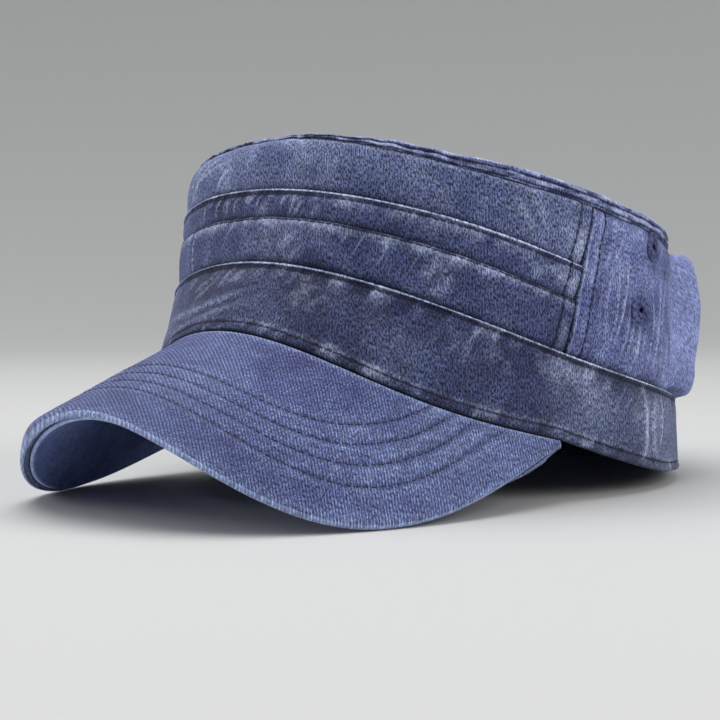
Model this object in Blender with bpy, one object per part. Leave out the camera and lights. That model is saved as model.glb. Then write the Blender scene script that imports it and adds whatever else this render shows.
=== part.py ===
"""A flat-topped cadet cap of washed blue cotton twill, lying on the two sides of its peak and the back of its hem.

Metres, +Z up. The cap faces -Y and the wearer's left is +X. Its cloth is laid out in the cap's upright frame, where the
back of the hem is level and the middle of the head oval is the origin. An empty then tips the whole cap back as it lies.
Angles run round the head oval: 0 is the front, 90 the wearer's left, 180 the back.
"""

import math
from collections import namedtuple

import bmesh
import bpy
import numpy as np
from mathutils import Matrix, Vector

# Head oval and walls
CROWN_LENGTH = 0.200
CROWN_WIDTH = 0.1714
BAND_WALL = 0.0020
CLOTH_WALL = 0.0012
WELT_WALL = 0.0014
TOP_WALL = 0.0014
GAP = 0.0003

# Heights at the front above the back hem, and the lean of the front from upright
PEAK_SEAM_RISE = 0.0406
BAND_TOP_RISE = 0.0632
LOWER_STRIP = 0.0144
MIDDLE_STRIP = 0.0092
UPPER_STRIP = 0.0139
WELT_HEIGHT = 0.0045
LAP = 0.0035
FOLD_EDGE = 0.0010
FRONT_LEAN_DEG = 10.1
TOP_SAG = 0.0020

# Seams between the front strips, the side panels and the back panel, at the band and at the top edge
FRONT_SEAM_LOW_DEG = 72.7
FRONT_SEAM_HIGH_DEG = 79.5
REAR_SEAM_LOW_DEG = 112.0
REAR_SEAM_HIGH_DEG = 125.0

# The back panel's pouch
POUCH_DEPTH = 0.0122
POUCH_RAMP_DEG = 14.0
POUCH_FULLEST_SHARE = 0.66

# Peak
PEAK_LENGTH = 0.0532
PEAK_WIDTH = 0.1673
PEAK_ARCH = 0.0688
PEAK_PITCH_DEG = 30.9
PEAK_CURL = 0.0059
PEAK_SQUARENESS = 2.53
PEAK_CORNER_DEG = 71.3
PEAK_CORNER_WIDTH = 0.0010
PEAK_CORNER_THINNING = 0.4
PEAK_COVER_WALL = 0.0022
PEAK_LINING_WALL = 0.0014
PEAK_LINING_INSET = 0.0010
PEAK_FLARE_SHARE = 0.5
BAND_BEHIND_PEAK = 0.0052
HEM_FALL_DEG = 42.0

# Embroidered eyelets
EYELET_BORE_RADIUS = 0.0017
EYELET_RIM_RADIUS = 0.0050
EYELET_RIM_HEIGHT = 0.0007
EYELET_CUT_RADIUS = 0.0032

# How far the hem and the peak's sides are pressed flat where the cap lies
PRESSED_FLAT = 0.0004

# Facets round the crown, across the front strips, a side panel, the back panel, the peak and an eyelet
CROWN_FACETS = 72
FRONT_FACETS = 28
SIDE_FACETS = 11
BACK_FACETS = 24
PEAK_FACETS = 34
PEAK_ROWS = 7
EYELET_FACETS = 16

# Sections round the crown, as shares: plan of the plain oval, band_top of BAND_TOP_RISE, lower, middle and upper of the
# strips' heights at the front, lean of FRONT_LEAN_DEG
Section = namedtuple("Section", "angle plan band_top lower middle upper lean")
SECTIONS = (
    Section(0, 1.000, 1.000, 1.00, 1.00, 1.00, 1.00),
    Section(30, 1.001, 0.894, 1.12, 1.08, 1.08, 0.63),
    Section(60, 0.966, 0.681, 1.24, 1.24, 1.31, 0.12),
    Section(90, 0.992, 0.513, 1.12, 1.36, 1.60, 0.11),
    Section(120, 1.019, 0.416, 0.86, 1.41, 1.84, 0.43),
    Section(150, 1.004, 0.370, 0.62, 1.45, 2.05, 0.90),
    Section(180, 1.000, 0.356, 0.52, 1.46, 2.12, 1.12),
)

# Soft creases: middle angle and width in degrees, low and high as shares of the wall's height, depth as a share of
# FOLD_DEPTH, where a minus is a ridge
FOLD_DEPTH = 0.0016
Fold = namedtuple("Fold", "angle width low high depth")
SIDE_FOLDS = (
    Fold(84.5, 2.6, 0.10, 0.95, 0.80),
    Fold(90.5, 2.4, 0.00, 0.75, 0.70),
    Fold(98.0, 4.5, 0.10, 0.90, -0.35),
    Fold(108.5, 2.8, 0.05, 0.90, 0.90),
)
BACK_FOLDS = (
    Fold(137.0, 3.5, 0.25, 0.95, 0.50),
    Fold(150.0, 4.5, 0.05, 0.80, 1.00),
    Fold(164.0, 4.0, 0.20, 0.95, 0.80),
    Fold(180.0, 5.0, 0.05, 0.85, 1.00),
)

# Eyelets on each side: angle in degrees, height as a share from the band's top to the top edge
Eyelet = namedtuple("Eyelet", "name angle share")
EYELETS = (Eyelet("upper", 101.1, 0.81), Eyelet("lower", 96.1, 0.41))

Seam = namedtuple("Seam", "low high")
FRONT_SEAM = Seam(math.radians(FRONT_SEAM_LOW_DEG), math.radians(FRONT_SEAM_HIGH_DEG))
REAR_SEAM = Seam(math.radians(REAR_SEAM_LOW_DEG), math.radians(REAR_SEAM_HIGH_DEG))

# A row of a panel: its line round the crown, its outer face's offset, and whether it lies flat under another piece
Row = namedtuple("Row", "line offset seated")
Rest = namedtuple("Rest", "tilt level")


def round_the_crown(column):
    """A smooth function of the angle, alike left and right, through one column of SECTIONS."""
    angles = np.radians([section.angle for section in SECTIONS])
    orders = np.arange(len(SECTIONS))
    shares = [getattr(section, column) for section in SECTIONS]
    weights = np.linalg.solve(np.cos(np.outer(angles, orders)), shares)
    return lambda angle: np.cos(np.multiply.outer(angle, orders)) @ weights


PLAN_SHARE = round_the_crown("plan")
BAND_SHARE = round_the_crown("band_top")
LOWER_SHARE = round_the_crown("lower")
MIDDLE_SHARE = round_the_crown("middle")
UPPER_SHARE = round_the_crown("upper")
LEAN_SHARE = round_the_crown("lean")


def band_top(angle):
    """Height of the band's folded top edge."""
    return BAND_TOP_RISE * BAND_SHARE(angle)


def lower_tuck(angle):
    """Height of the fold where the lower strip laps over the middle one."""
    return band_top(angle) + LOWER_STRIP * LOWER_SHARE(angle)


def upper_tuck(angle):
    """Height of the fold where the middle strip laps over the upper one."""
    return lower_tuck(angle) + MIDDLE_STRIP * MIDDLE_SHARE(angle)


def top_edge(angle):
    """Height of the crown's top edge."""
    return upper_tuck(angle) + UPPER_STRIP * UPPER_SHARE(angle) + WELT_HEIGHT


def behind_welt(angle):
    """Height just below the welt, where the walls' cloth is already behind it."""
    return top_edge(angle) - WELT_HEIGHT - GAP


def below_welt(angle):
    """Height at which the walls' cloth starts to turn in behind the welt."""
    return behind_welt(angle) - FOLD_EDGE


def raised(line, rise):
    """A line this far above another."""
    return lambda angle: line(angle) + rise


def between(low, high, share):
    """A line at this share of the way from one line up to another."""
    return lambda angle: low(angle) + (high(angle) - low(angle)) * share


def held_at(offset):
    """The same offset all along a row."""
    return lambda angle: np.full_like(angle, offset)


def oval_radius(angle):
    """Plan radius of the band's outer face at the hem."""
    plain = 1 / np.hypot(np.cos(angle) / (CROWN_LENGTH / 2), np.sin(angle) / (CROWN_WIDTH / 2))
    return plain * PLAN_SHARE(angle)


def from_front(angle):
    """The angle's distance from the front, whichever side it is on."""
    return np.abs((angle + math.pi) % (2 * math.pi) - math.pi)


def peak_height(x, y):
    """Height of the peak's top skin: an arch across, falling and curling up towards the front."""
    ahead = -(y + CROWN_LENGTH / 2)
    run = ahead / PEAK_LENGTH
    arch = PEAK_ARCH * (x / (PEAK_WIDTH / 2)) ** 2
    return PEAK_SEAM_RISE - arch - math.tan(math.radians(PEAK_PITCH_DEG)) * ahead + PEAK_CURL * run * abs(run)


def band_foot(angle):
    """Height of the band's visible lower edge: the seam to the peak in front, then falling to level at the back."""
    away = from_front(angle)
    corner_angle = math.radians(PEAK_CORNER_DEG)
    seam_part = np.minimum(away, corner_angle)
    radius = oval_radius(seam_part)
    seam = peak_height(radius * np.sin(seam_part), -radius * np.cos(seam_part))
    fall = 1 - np.clip((away - corner_angle) / math.radians(HEM_FALL_DEG), 0, 1)
    return seam * fall**1.5


def plan_normal(angle):
    """The oval's outward normal, level."""
    step = 1e-4
    radius = oval_radius(angle)
    growth = (oval_radius(angle + step) - oval_radius(angle - step)) / (2 * step)
    along_x = growth * np.sin(angle) + radius * np.cos(angle)
    along_y = -growth * np.cos(angle) + radius * np.sin(angle)
    length = np.hypot(along_x, along_y)
    return np.stack([along_y / length, -along_x / length, np.zeros_like(angle)], -1)


def wall(angle, height, offset=0.0):
    """Points on the crown's wall, offset outwards from its outer face. The band flares out to the oval at its foot."""
    lean = np.tan(np.radians(FRONT_LEAN_DEG) * LEAN_SHARE(angle))
    foot = band_foot(angle)
    up_band = np.clip((height - foot) / (band_top(angle) - foot), 0, 1)
    radius = oval_radius(angle) - lean * (band_top(angle) * up_band + np.maximum(height - band_top(angle), 0))
    points = np.stack([radius * np.sin(angle), -radius * np.cos(angle), height + 0 * radius], -1)
    return points + np.asarray(offset)[..., None] * plan_normal(angle)


def height_share(angle, height):
    """Where a height lies between the band's top, 0, and the top edge, 1."""
    return (height - band_top(angle)) / (top_edge(angle) - band_top(angle))


def seam_angle(seam, line):
    """The angle at which a slanting seam crosses a line."""
    angle = seam.low
    for _ in range(5):
        angle = seam.low + (seam.high - seam.low) * height_share(angle, line(angle))
    return float(angle)


def seam_half_gap():
    """Half the gap between two panels that meet at a seam, as an angle."""
    return GAP / CROWN_WIDTH


def fade(value, low, high):
    """0 below low and 1 above high, smooth between."""
    share = np.clip((value - low) / (high - low), 0, 1)
    return share * share * (3 - 2 * share)


def relief(folds, angle, share):
    """How far soft creases move the cloth in, at an angle from the front and a share of the wall's height."""
    total = 0
    for fold in folds:
        across = np.exp(-(((angle - math.radians(fold.angle)) / math.radians(fold.width)) ** 2))
        ends = fade(share, fold.low, fold.low + 0.15) * fade(-share, -fold.high, 0.15 - fold.high)
        total = total + FOLD_DEPTH * fold.depth * across * ends
    return total


def pouch(angle, share):
    """How far the back panel puffs out."""
    seam = REAR_SEAM.low + (REAR_SEAM.high - REAR_SEAM.low) * share
    ramp = fade(angle, seam, seam + math.radians(POUCH_RAMP_DEG))
    below = np.clip(1 - share / POUCH_FULLEST_SHARE, 0, 1)
    above = np.clip((share - POUCH_FULLEST_SHARE) / (1 - POUCH_FULLEST_SHARE), 0, 1)
    return POUCH_DEPTH * ramp * (1 - below**3) * (1 - above**6)


def peak_slope(x, y):
    """How much the peak's top skin rises along X and along Y."""
    step = 1e-5
    along_x = (peak_height(x + step, y) - peak_height(x - step, y)) / (2 * step)
    along_y = (peak_height(x, y + step) - peak_height(x, y - step)) / (2 * step)
    return along_x, along_y


def peak_plan(turn, inset):
    """The peak's seam and outer edge in plan; turn runs from -90 degrees at its right corner to 90 at its left."""
    corner_angle = math.radians(PEAK_CORNER_DEG)
    corner = wall(np.array(corner_angle), 0.0, PEAK_CORNER_WIDTH + GAP)
    seam = wall(turn * corner_angle / (math.pi / 2), 0.0, GAP)[..., :2]
    forward = np.cos(turn)
    aside = np.sin(turn)
    flare = np.sin(np.pi / 2 * np.clip(forward / PEAK_FLARE_SHARE, 0, 1))
    half_width = corner[0] + (PEAK_WIDTH / 2 - corner[0]) * flare
    reach = CROWN_LENGTH / 2 + PEAK_LENGTH + corner[1]
    power = 2 / PEAK_SQUARENESS
    edge_x = half_width * np.sign(aside) * np.abs(aside) ** power
    edge_y = corner[1] - reach * np.abs(forward) ** power
    edge = np.stack([edge_x, edge_y], -1)
    width = np.linalg.norm(edge - seam, axis=-1)[..., None]
    edge = edge - (edge - seam) * np.clip(inset / width, 0, 0.5)
    return seam, edge


def peak_skin(depth, inset=0.0):
    """A grid of points this deep below the peak's top skin, from the seam out to the edge."""
    turn = np.linspace(-math.pi / 2, math.pi / 2, PEAK_FACETS + 1)
    seam, edge = peak_plan(turn, inset)
    thick = PEAK_COVER_WALL + GAP + PEAK_LINING_WALL
    width = np.linalg.norm(edge - seam, axis=-1)
    fullness = fade(width, PEAK_CORNER_WIDTH, PEAK_CORNER_WIDTH + 3 * thick)
    depth = depth * (PEAK_CORNER_THINNING + (1 - PEAK_CORNER_THINNING) * fullness)
    rows = []
    for out in np.linspace(0, 1, PEAK_ROWS + 1):
        plan = seam + (edge - seam) * out
        x, y = plan[:, 0], plan[:, 1]
        slope_x, slope_y = peak_slope(x, y)
        steep = np.sqrt(1 + slope_x**2 + slope_y**2)
        x = x + slope_x / steep * depth * out * fullness
        y = y + slope_y / steep * depth * out * fullness
        slope_x, slope_y = peak_slope(x, y)
        steep = np.sqrt(1 + slope_x**2 + slope_y**2)
        rows.append(np.stack([x, y, peak_height(x, y) - depth * steep], -1))
    return np.array(rows)


def hem(angle):
    """Height of the band's lower edge, which runs on a little behind the peak."""
    behind = BAND_BEHIND_PEAK * (1 - np.clip(from_front(angle) / math.radians(PEAK_CORNER_DEG), 0, 1) ** 4)
    return band_foot(angle) - behind


def settle():
    """The tilt at which the peak's sides and the back of the hem are level, and their level then."""
    around = np.linspace(-math.pi, math.pi, 4 * CROWN_FACETS + 1)
    hem_points = wall(around, hem(around))
    thick = PEAK_COVER_WALL + GAP + PEAK_LINING_WALL
    peak_points = peak_skin(thick, PEAK_LINING_INSET).reshape(-1, 3)

    def lowest(points, tilt):
        return float((points[:, 2] * math.cos(tilt) - points[:, 1] * math.sin(tilt)).min())

    low, high = -math.radians(30), math.radians(30)
    for _ in range(50):
        tilt = (low + high) / 2
        if lowest(peak_points, tilt) < lowest(hem_points, tilt):
            low = tilt
        else:
            high = tilt
    return Rest(tilt, lowest(hem_points, tilt) + PRESSED_FLAT)


def pressed(points, rest):
    """The points, with those that would lie under the table pressed flat onto it."""
    table = (rest.level + points[..., 1] * math.sin(rest.tilt)) / math.cos(rest.tilt)
    points = points.copy()
    points[..., 2] = np.maximum(points[..., 2], table)
    return points


def washed_material(name, colour, roughness):
    """A matt cloth or thread."""
    material = bpy.data.materials.new(name)
    material.use_nodes = True
    shader = material.node_tree.nodes["Principled BSDF"]
    shader.inputs["Base Color"].default_value = (*colour, 1)
    shader.inputs["Roughness"].default_value = roughness
    shader.inputs["Metallic"].default_value = 0.0
    return material


def add_object(name, mesh, material, parent):
    """A smooth-shaded object with one material, under the cap's empty."""
    mesh.materials.append(material)
    mesh.shade_smooth()
    mesh.set_sharp_from_angle(angle=math.radians(50))
    piece = bpy.data.objects.new(name, mesh)
    piece.parent = parent
    bpy.context.scene.collection.objects.link(piece)
    return piece


def solid_between(name, outside, inside, around=False):
    """A closed mesh between two matching grids of points, rows by columns; around joins the last column to the first."""
    rows, columns = outside.shape[:2]
    solid = bmesh.new()
    outer, inner = ([[solid.verts.new(point) for point in row] for row in skin] for skin in (outside, inside))
    for j in range(columns if around else columns - 1):
        k = (j + 1) % columns
        for i in range(rows - 1):
            solid.faces.new((outer[i][j], outer[i][k], outer[i + 1][k], outer[i + 1][j]))
            solid.faces.new((inner[i][j], inner[i + 1][j], inner[i + 1][k], inner[i][k]))
        solid.faces.new((inner[0][j], inner[0][k], outer[0][k], outer[0][j]))
        solid.faces.new((outer[-1][j], outer[-1][k], inner[-1][k], inner[-1][j]))
    for i in range(0 if around else rows - 1):
        solid.faces.new((inner[i][0], outer[i][0], outer[i + 1][0], inner[i + 1][0]))
        solid.faces.new((outer[i][-1], inner[i][-1], inner[i + 1][-1], outer[i + 1][-1]))
    bmesh.ops.remove_doubles(solid, verts=solid.verts, dist=1e-6)
    bmesh.ops.recalc_face_normals(solid, faces=solid.faces)
    mesh = bpy.data.meshes.new(name)
    solid.to_mesh(mesh)
    solid.free()
    return mesh


def inner_face(outside, level_normals, seated):
    """The grid one cloth wall inside another: square to the cloth, or level in the rows that lie under a piece."""
    normals = np.cross(np.gradient(outside, axis=1), np.gradient(outside, axis=0))
    normals /= np.linalg.norm(normals, axis=-1, keepdims=True)
    normals = np.where(np.array(seated)[:, None, None], level_normals, normals)
    return outside - CLOTH_WALL * normals


def panel(name, rows, edges, facets):
    """A cloth panel through its rows, between two edges that are functions of a row's line."""
    outside, level_normals = [], []
    for row in rows:
        angle = np.linspace(edges[0](row.line), edges[1](row.line), facets + 1)
        outside.append(wall(angle, row.line(angle), row.offset(angle)))
        level_normals.append(plan_normal(angle))
    outside = np.array(outside)
    return solid_between(name, outside, inner_face(outside, np.array(level_normals), [row.seated for row in rows]))


def band(rest):
    """The closed band, from its hem to its folded top edge."""
    angle = np.arange(CROWN_FACETS) * 2 * math.pi / CROWN_FACETS
    fold = raised(band_top, -FOLD_EDGE)
    lines = [hem, between(hem, fold, 0.35), between(hem, fold, 0.7), fold, band_top]
    rounding = [0, 0, 0, 0, -0.25 * BAND_WALL]
    outside = np.array([wall(angle, line(angle), offset) for line, offset in zip(lines, rounding)])
    inside = np.array([wall(angle, line(angle), -BAND_WALL) for line in lines])
    return solid_between("band", pressed(outside, rest), pressed(inside, rest), around=True)


def under_band():
    """Offset of cloth that lies behind the band."""
    return held_at(-BAND_WALL - GAP)


def under_cloth():
    """Offset of cloth that lies behind one cloth wall."""
    return held_at(-CLOTH_WALL - GAP)


def under_welt():
    """Offset of cloth that lies behind the welt."""
    return held_at(-WELT_WALL - GAP)


def lower_rows(low, tucked):
    """The rows of a panel's lower end, tucked behind the piece below it."""
    return [Row(raised(low, FOLD_EDGE / 2 - LAP), tucked, True), Row(raised(low, FOLD_EDGE), tucked, True)]


def upper_rows():
    """The rows of a panel's upper end, behind the welt and under the top panel."""
    end = raised(top_edge, -TOP_WALL - 3 * GAP)
    return [
        Row(below_welt, held_at(-0.5 * WELT_WALL), True),
        Row(behind_welt, under_welt(), True),
        Row(end, under_welt(), True),
    ]


def front_left_end(line):
    """Where a row of the front strips ends, short of the left front seam."""
    return seam_angle(FRONT_SEAM, line) - seam_half_gap()


def front_right_end(line):
    """Where a row of the front strips ends, short of the right front seam."""
    return -front_left_end(line)


def side_front_end(line):
    """Where a row of the left side panel starts, short of the front seam."""
    return seam_angle(FRONT_SEAM, line) + seam_half_gap()


def side_rear_end(line):
    """Where a row of the left side panel ends, short of the rear seam."""
    return seam_angle(REAR_SEAM, line) - seam_half_gap()


def back_left_end(line):
    """Where a row of the back panel starts, short of the left rear seam."""
    return seam_angle(REAR_SEAM, line) + seam_half_gap()


def back_right_end(line):
    """Where a row of the back panel ends, short of the right rear seam."""
    return 2 * math.pi - back_left_end(line)


def tucked_strip(name, low, high, tucked):
    """A front strip from behind the piece below it up to its own fold, which laps over the strip above."""
    flat = raised(high, -LAP)
    slope = between(raised(low, FOLD_EDGE), flat, 0.5)
    rows = lower_rows(low, tucked) + [
        Row(slope, held_at(-0.3 * CLOTH_WALL), False),
        Row(flat, held_at(0.0), True),
        Row(high, held_at(0.0), True),
    ]
    return panel(name, rows, (front_right_end, front_left_end), FRONT_FACETS)


def front_upper():
    """The front's top strip, from behind the middle strip's fold up under the welt."""
    rows = lower_rows(upper_tuck, under_cloth())
    for share, offset in ((0.3, -0.4), (0.7, 0.0)):
        line = between(raised(upper_tuck, FOLD_EDGE), below_welt, share)
        rows.append(Row(line, held_at(offset * CLOTH_WALL), False))
    return panel("front_upper", rows + upper_rows(), (front_right_end, front_left_end), FRONT_FACETS)


def free_rows(shares, bulge):
    """Rows of a panel's free middle, whose offset is a function of the angle and of the share of the wall's height."""
    low = raised(band_top, FOLD_EDGE)
    return [
        Row(between(low, below_welt, share), (lambda angle, share=share: bulge(angle, share)), False)
        for share in shares
    ]


def side_panel(name, side):
    """A side panel, between the front strips and the back panel; side is 1 for the wearer's left and -1 for the right."""

    def bulge(angle, share):
        slack = -BAND_WALL * (1 - fade(share, 0.0, 0.25))
        return slack - relief(SIDE_FOLDS, np.abs(angle), share)

    rows = lower_rows(band_top, under_band()) + free_rows((0.1, 0.25, 0.4, 0.55, 0.7, 0.85), bulge) + upper_rows()
    ends = [lambda line: side * side_front_end(line), lambda line: side * side_rear_end(line)]
    return panel(name, rows, ends if side > 0 else ends[::-1], SIDE_FACETS)


def back_panel():
    """The back panel, puffed out between the band and the welt."""

    def bulge(angle, share):
        away = math.pi - np.abs(math.pi - angle)
        return pouch(away, share) - relief(BACK_FOLDS, away, share) - BAND_WALL * (1 - fade(share, 0.0, 0.1))

    shares = (0.05, 0.14, 0.28, 0.44, 0.6, 0.76, 0.88, 0.96)
    rows = lower_rows(band_top, under_band()) + free_rows(shares, bulge) + upper_rows()
    return panel("back_panel", rows, (back_left_end, back_right_end), BACK_FACETS)


def crown_welt():
    """The topstitched strip round the crown's top edge."""
    angle = np.arange(CROWN_FACETS) * 2 * math.pi / CROWN_FACETS
    low, bend, top = top_edge(angle) - WELT_HEIGHT, top_edge(angle) - WELT_WALL, top_edge(angle)
    outside = np.array([wall(angle, low), wall(angle, bend), wall(angle, top - 0.15 * WELT_WALL, -0.4 * WELT_WALL)])
    inside = np.array([wall(angle, height, -WELT_WALL) for height in (low, bend, top)])
    return solid_between("crown_welt", outside, inside, around=True)


def top_panel():
    """The flat top, sagging a little inside the welt."""
    angle = np.arange(CROWN_FACETS) * 2 * math.pi / CROWN_FACETS
    rim = wall(angle, top_edge(angle) - GAP, -WELT_WALL - GAP)
    front, back = wall(np.array([0.0, math.pi]), top_edge(np.array([0.0, math.pi])) - GAP, -WELT_WALL - GAP)
    slope = (back[2] - front[2]) / (back[1] - front[1])
    rings = []
    for share in (0.0, 0.4, 0.75, 1.0):
        ring = rim * share
        plane = front[2] + slope * (ring[:, 1] - front[1])
        droop = rim[:, 2] - front[2] - slope * (rim[:, 1] - front[1])
        ring[:, 2] = plane + droop * share**2 - TOP_SAG * (1 - share**2)
        rings.append(ring)
    upper = np.array(rings)
    lower = upper - np.array([0, 0, TOP_WALL])
    return solid_between("top_panel", upper, lower, around=True)


def peak_cover(rest):
    """The peak's top cloth over its board."""
    return solid_between("peak_cover", pressed(peak_skin(0.0), rest), pressed(peak_skin(PEAK_COVER_WALL), rest))


def peak_lining(rest):
    """The cloth on the peak's underside, set in a little from the cover's edge."""
    upper = peak_skin(PEAK_COVER_WALL + GAP, PEAK_LINING_INSET)
    lower = peak_skin(PEAK_COVER_WALL + GAP + PEAK_LINING_WALL, PEAK_LINING_INSET)
    return solid_between("peak_lining", pressed(upper, rest), pressed(lower, rest))


def eyelet_mesh():
    """An embroidered eyelet about its own Z axis, its rim on the cloth's outer face and its barrel through the cloth."""
    barrel = EYELET_CUT_RADIUS - GAP
    below = -CLOTH_WALL - GAP
    profile = [
        (EYELET_BORE_RADIUS, below),
        (barrel, below),
        (barrel, GAP),
        (EYELET_RIM_RADIUS, GAP),
        (EYELET_RIM_RADIUS - 0.3 * EYELET_RIM_HEIGHT, GAP + EYELET_RIM_HEIGHT),
        (EYELET_BORE_RADIUS + 0.5 * EYELET_RIM_HEIGHT, GAP + EYELET_RIM_HEIGHT),
    ]
    ring = bmesh.new()
    loop = [ring.verts.new((radius, 0, height)) for radius, height in profile]
    edges = [ring.edges.new((loop[i - 1], loop[i])) for i in range(len(loop))]
    bmesh.ops.spin(
        ring,
        geom=loop + edges,
        cent=(0, 0, 0),
        axis=(0, 0, 1),
        angle=2 * math.pi,
        steps=EYELET_FACETS,
        use_merge=True,
    )
    bmesh.ops.remove_doubles(ring, verts=ring.verts, dist=1e-6)
    bmesh.ops.recalc_face_normals(ring, faces=ring.faces)
    mesh = bpy.data.meshes.new("eyelet")
    ring.to_mesh(mesh)
    ring.free()
    return mesh


def eyelet_place(eyelet, side):
    """The matrix that puts an eyelet on a side panel, square to the cloth."""

    def cloth(angle, share):
        height = band_top(angle) + (top_edge(angle) - band_top(angle)) * share
        return wall(np.array(angle), height, -relief(SIDE_FOLDS, angle, share))

    angle, step = math.radians(eyelet.angle), 0.04
    along = Vector(cloth(angle + step, eyelet.share) - cloth(angle - step, eyelet.share))
    up = Vector(cloth(angle, eyelet.share + step) - cloth(angle, eyelet.share - step))
    spot = Vector(cloth(angle, eyelet.share))
    outward = along.cross(up).normalized()
    if side < 0:
        spot.x, outward.x = -spot.x, -outward.x
    return Matrix.Translation(spot) @ outward.to_track_quat("Z", "Y").to_matrix().to_4x4()


def add_eyelets(panel_object, side, mesh, material, parent):
    """The eyelets of one side panel, each in a hole cut for it."""
    word = "left" if side > 0 else "right"
    for eyelet in EYELETS:
        place = eyelet_place(eyelet, side)
        ring = add_object(f"eyelet_{word}_{eyelet.name}", mesh, material, parent)
        ring.matrix_local = place
        hole = bpy.data.meshes.new(f"hole_{word}_{eyelet.name}")
        drill = bmesh.new()
        bmesh.ops.create_cone(
            drill,
            cap_ends=True,
            segments=EYELET_FACETS,
            radius1=EYELET_CUT_RADIUS,
            radius2=EYELET_CUT_RADIUS,
            depth=10 * CLOTH_WALL,
        )
        drill.to_mesh(hole)
        drill.free()
        cutter = bpy.data.objects.new(hole.name, hole)
        cutter.parent = parent
        cutter.matrix_local = place
        cutter.hide_render = True
        cutter.display_type = "WIRE"
        bpy.context.scene.collection.objects.link(cutter)
        cut = panel_object.modifiers.new(hole.name, "BOOLEAN")
        cut.operation = "DIFFERENCE"
        cut.object = cutter


def place_on_table(cap, rest):
    """Tips the cap back to rest, with its lowest points on Z 0 and the middle of its length and width on the Z axis."""
    turn = Matrix.Rotation(-rest.tilt, 3, "X")
    lengths = [
        (turn @ (piece.matrix_local @ vertex.co)).y
        for piece in cap.children
        if not piece.hide_render
        for vertex in piece.data.vertices
    ]
    cap.rotation_euler = (-rest.tilt, 0, 0)
    cap.location = (0, -(min(lengths) + max(lengths)) / 2, -rest.level)


def build():
    """Builds the cap in an emptied scene."""
    for old in list(bpy.data.objects):
        bpy.data.objects.remove(old, do_unlink=True)
    cap = bpy.data.objects.new("cap", None)
    bpy.context.scene.collection.objects.link(cap)

    twill = washed_material("washed_twill", (0.085, 0.105, 0.235), 0.95)
    worn_twill = washed_material("worn_twill", (0.13, 0.16, 0.31), 0.95)
    dark_twill = washed_material("dark_twill", (0.018, 0.022, 0.055), 0.95)
    thread = washed_material("thread", (0.012, 0.015, 0.045), 0.7)

    rest = settle()
    add_object("band", band(rest), twill, cap)
    add_object("front_lower", tucked_strip("front_lower", band_top, lower_tuck, under_band()), twill, cap)
    add_object("front_middle", tucked_strip("front_middle", lower_tuck, upper_tuck, under_cloth()), twill, cap)
    add_object("front_upper", front_upper(), twill, cap)
    add_object("back_panel", back_panel(), worn_twill, cap)
    add_object("crown_welt", crown_welt(), worn_twill, cap)
    add_object("top_panel", top_panel(), twill, cap)
    add_object("peak_cover", peak_cover(rest), worn_twill, cap)
    add_object("peak_lining", peak_lining(rest), dark_twill, cap)
    eyelet = eyelet_mesh()
    for name, side in (("side_panel_left", 1), ("side_panel_right", -1)):
        panel_object = add_object(name, side_panel(name, side), twill, cap)
        add_eyelets(panel_object, side, eyelet, thread, cap)
    place_on_table(cap, rest)


build()
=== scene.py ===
"""A flat-topped cadet cap of washed blue cotton twill, lying on its peak's two sides and the back of its hem.

Metres, +Z up. The cap faces -Y and the wearer's left is +X. Its cloth is laid out in the cap's upright frame,
where angles run round the head oval: 0 is the front, 90 the wearer's left, 180 the back. CapForm.as_it_lies
then tips it back.
"""

from __future__ import annotations

import functools
import logging
import math
from collections.abc import Callable, Sequence
from dataclasses import dataclass, field, replace
from enum import Enum
from math import pi, radians

import bpy
import numpy as np
from bpy.types import ID, Material, NodeSocket, NodeTree, Object
from mathutils import Matrix, Vector

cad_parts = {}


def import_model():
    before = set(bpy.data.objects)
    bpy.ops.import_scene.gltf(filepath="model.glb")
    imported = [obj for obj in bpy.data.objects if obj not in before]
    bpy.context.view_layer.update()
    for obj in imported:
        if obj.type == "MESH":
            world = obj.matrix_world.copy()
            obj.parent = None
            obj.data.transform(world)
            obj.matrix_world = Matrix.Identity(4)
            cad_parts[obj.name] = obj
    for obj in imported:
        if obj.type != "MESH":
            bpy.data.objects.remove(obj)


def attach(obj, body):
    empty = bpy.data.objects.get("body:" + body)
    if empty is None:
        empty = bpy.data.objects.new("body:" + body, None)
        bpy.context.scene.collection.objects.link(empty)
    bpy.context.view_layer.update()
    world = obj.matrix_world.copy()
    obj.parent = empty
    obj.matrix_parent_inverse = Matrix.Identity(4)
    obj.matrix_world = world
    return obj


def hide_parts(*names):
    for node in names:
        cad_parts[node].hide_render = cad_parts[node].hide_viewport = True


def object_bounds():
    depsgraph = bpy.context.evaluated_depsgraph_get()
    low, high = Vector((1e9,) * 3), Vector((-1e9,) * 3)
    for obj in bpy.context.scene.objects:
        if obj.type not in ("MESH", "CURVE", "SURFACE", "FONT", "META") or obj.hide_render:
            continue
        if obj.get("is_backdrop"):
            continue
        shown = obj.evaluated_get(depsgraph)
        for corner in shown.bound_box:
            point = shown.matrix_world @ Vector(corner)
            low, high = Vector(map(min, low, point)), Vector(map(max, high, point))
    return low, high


LOG = logging.getLogger("cadet_cap")
BODY = "root"
MM = 0.001
SEAM_GAP = 0.0006  # Radians that a panel stops short of the middle of its seam

Array = np.ndarray
Line = Callable[[Array], Array]
Ends = Callable[[Line], Array]


@dataclass(frozen=True)
class Section:
    """The crown's sizes at one angle round the head oval, as shares of the sizes in CapForm."""

    angle: float
    plan: float
    band_top: float
    lower: float
    middle: float
    upper: float
    lean: float


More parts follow.
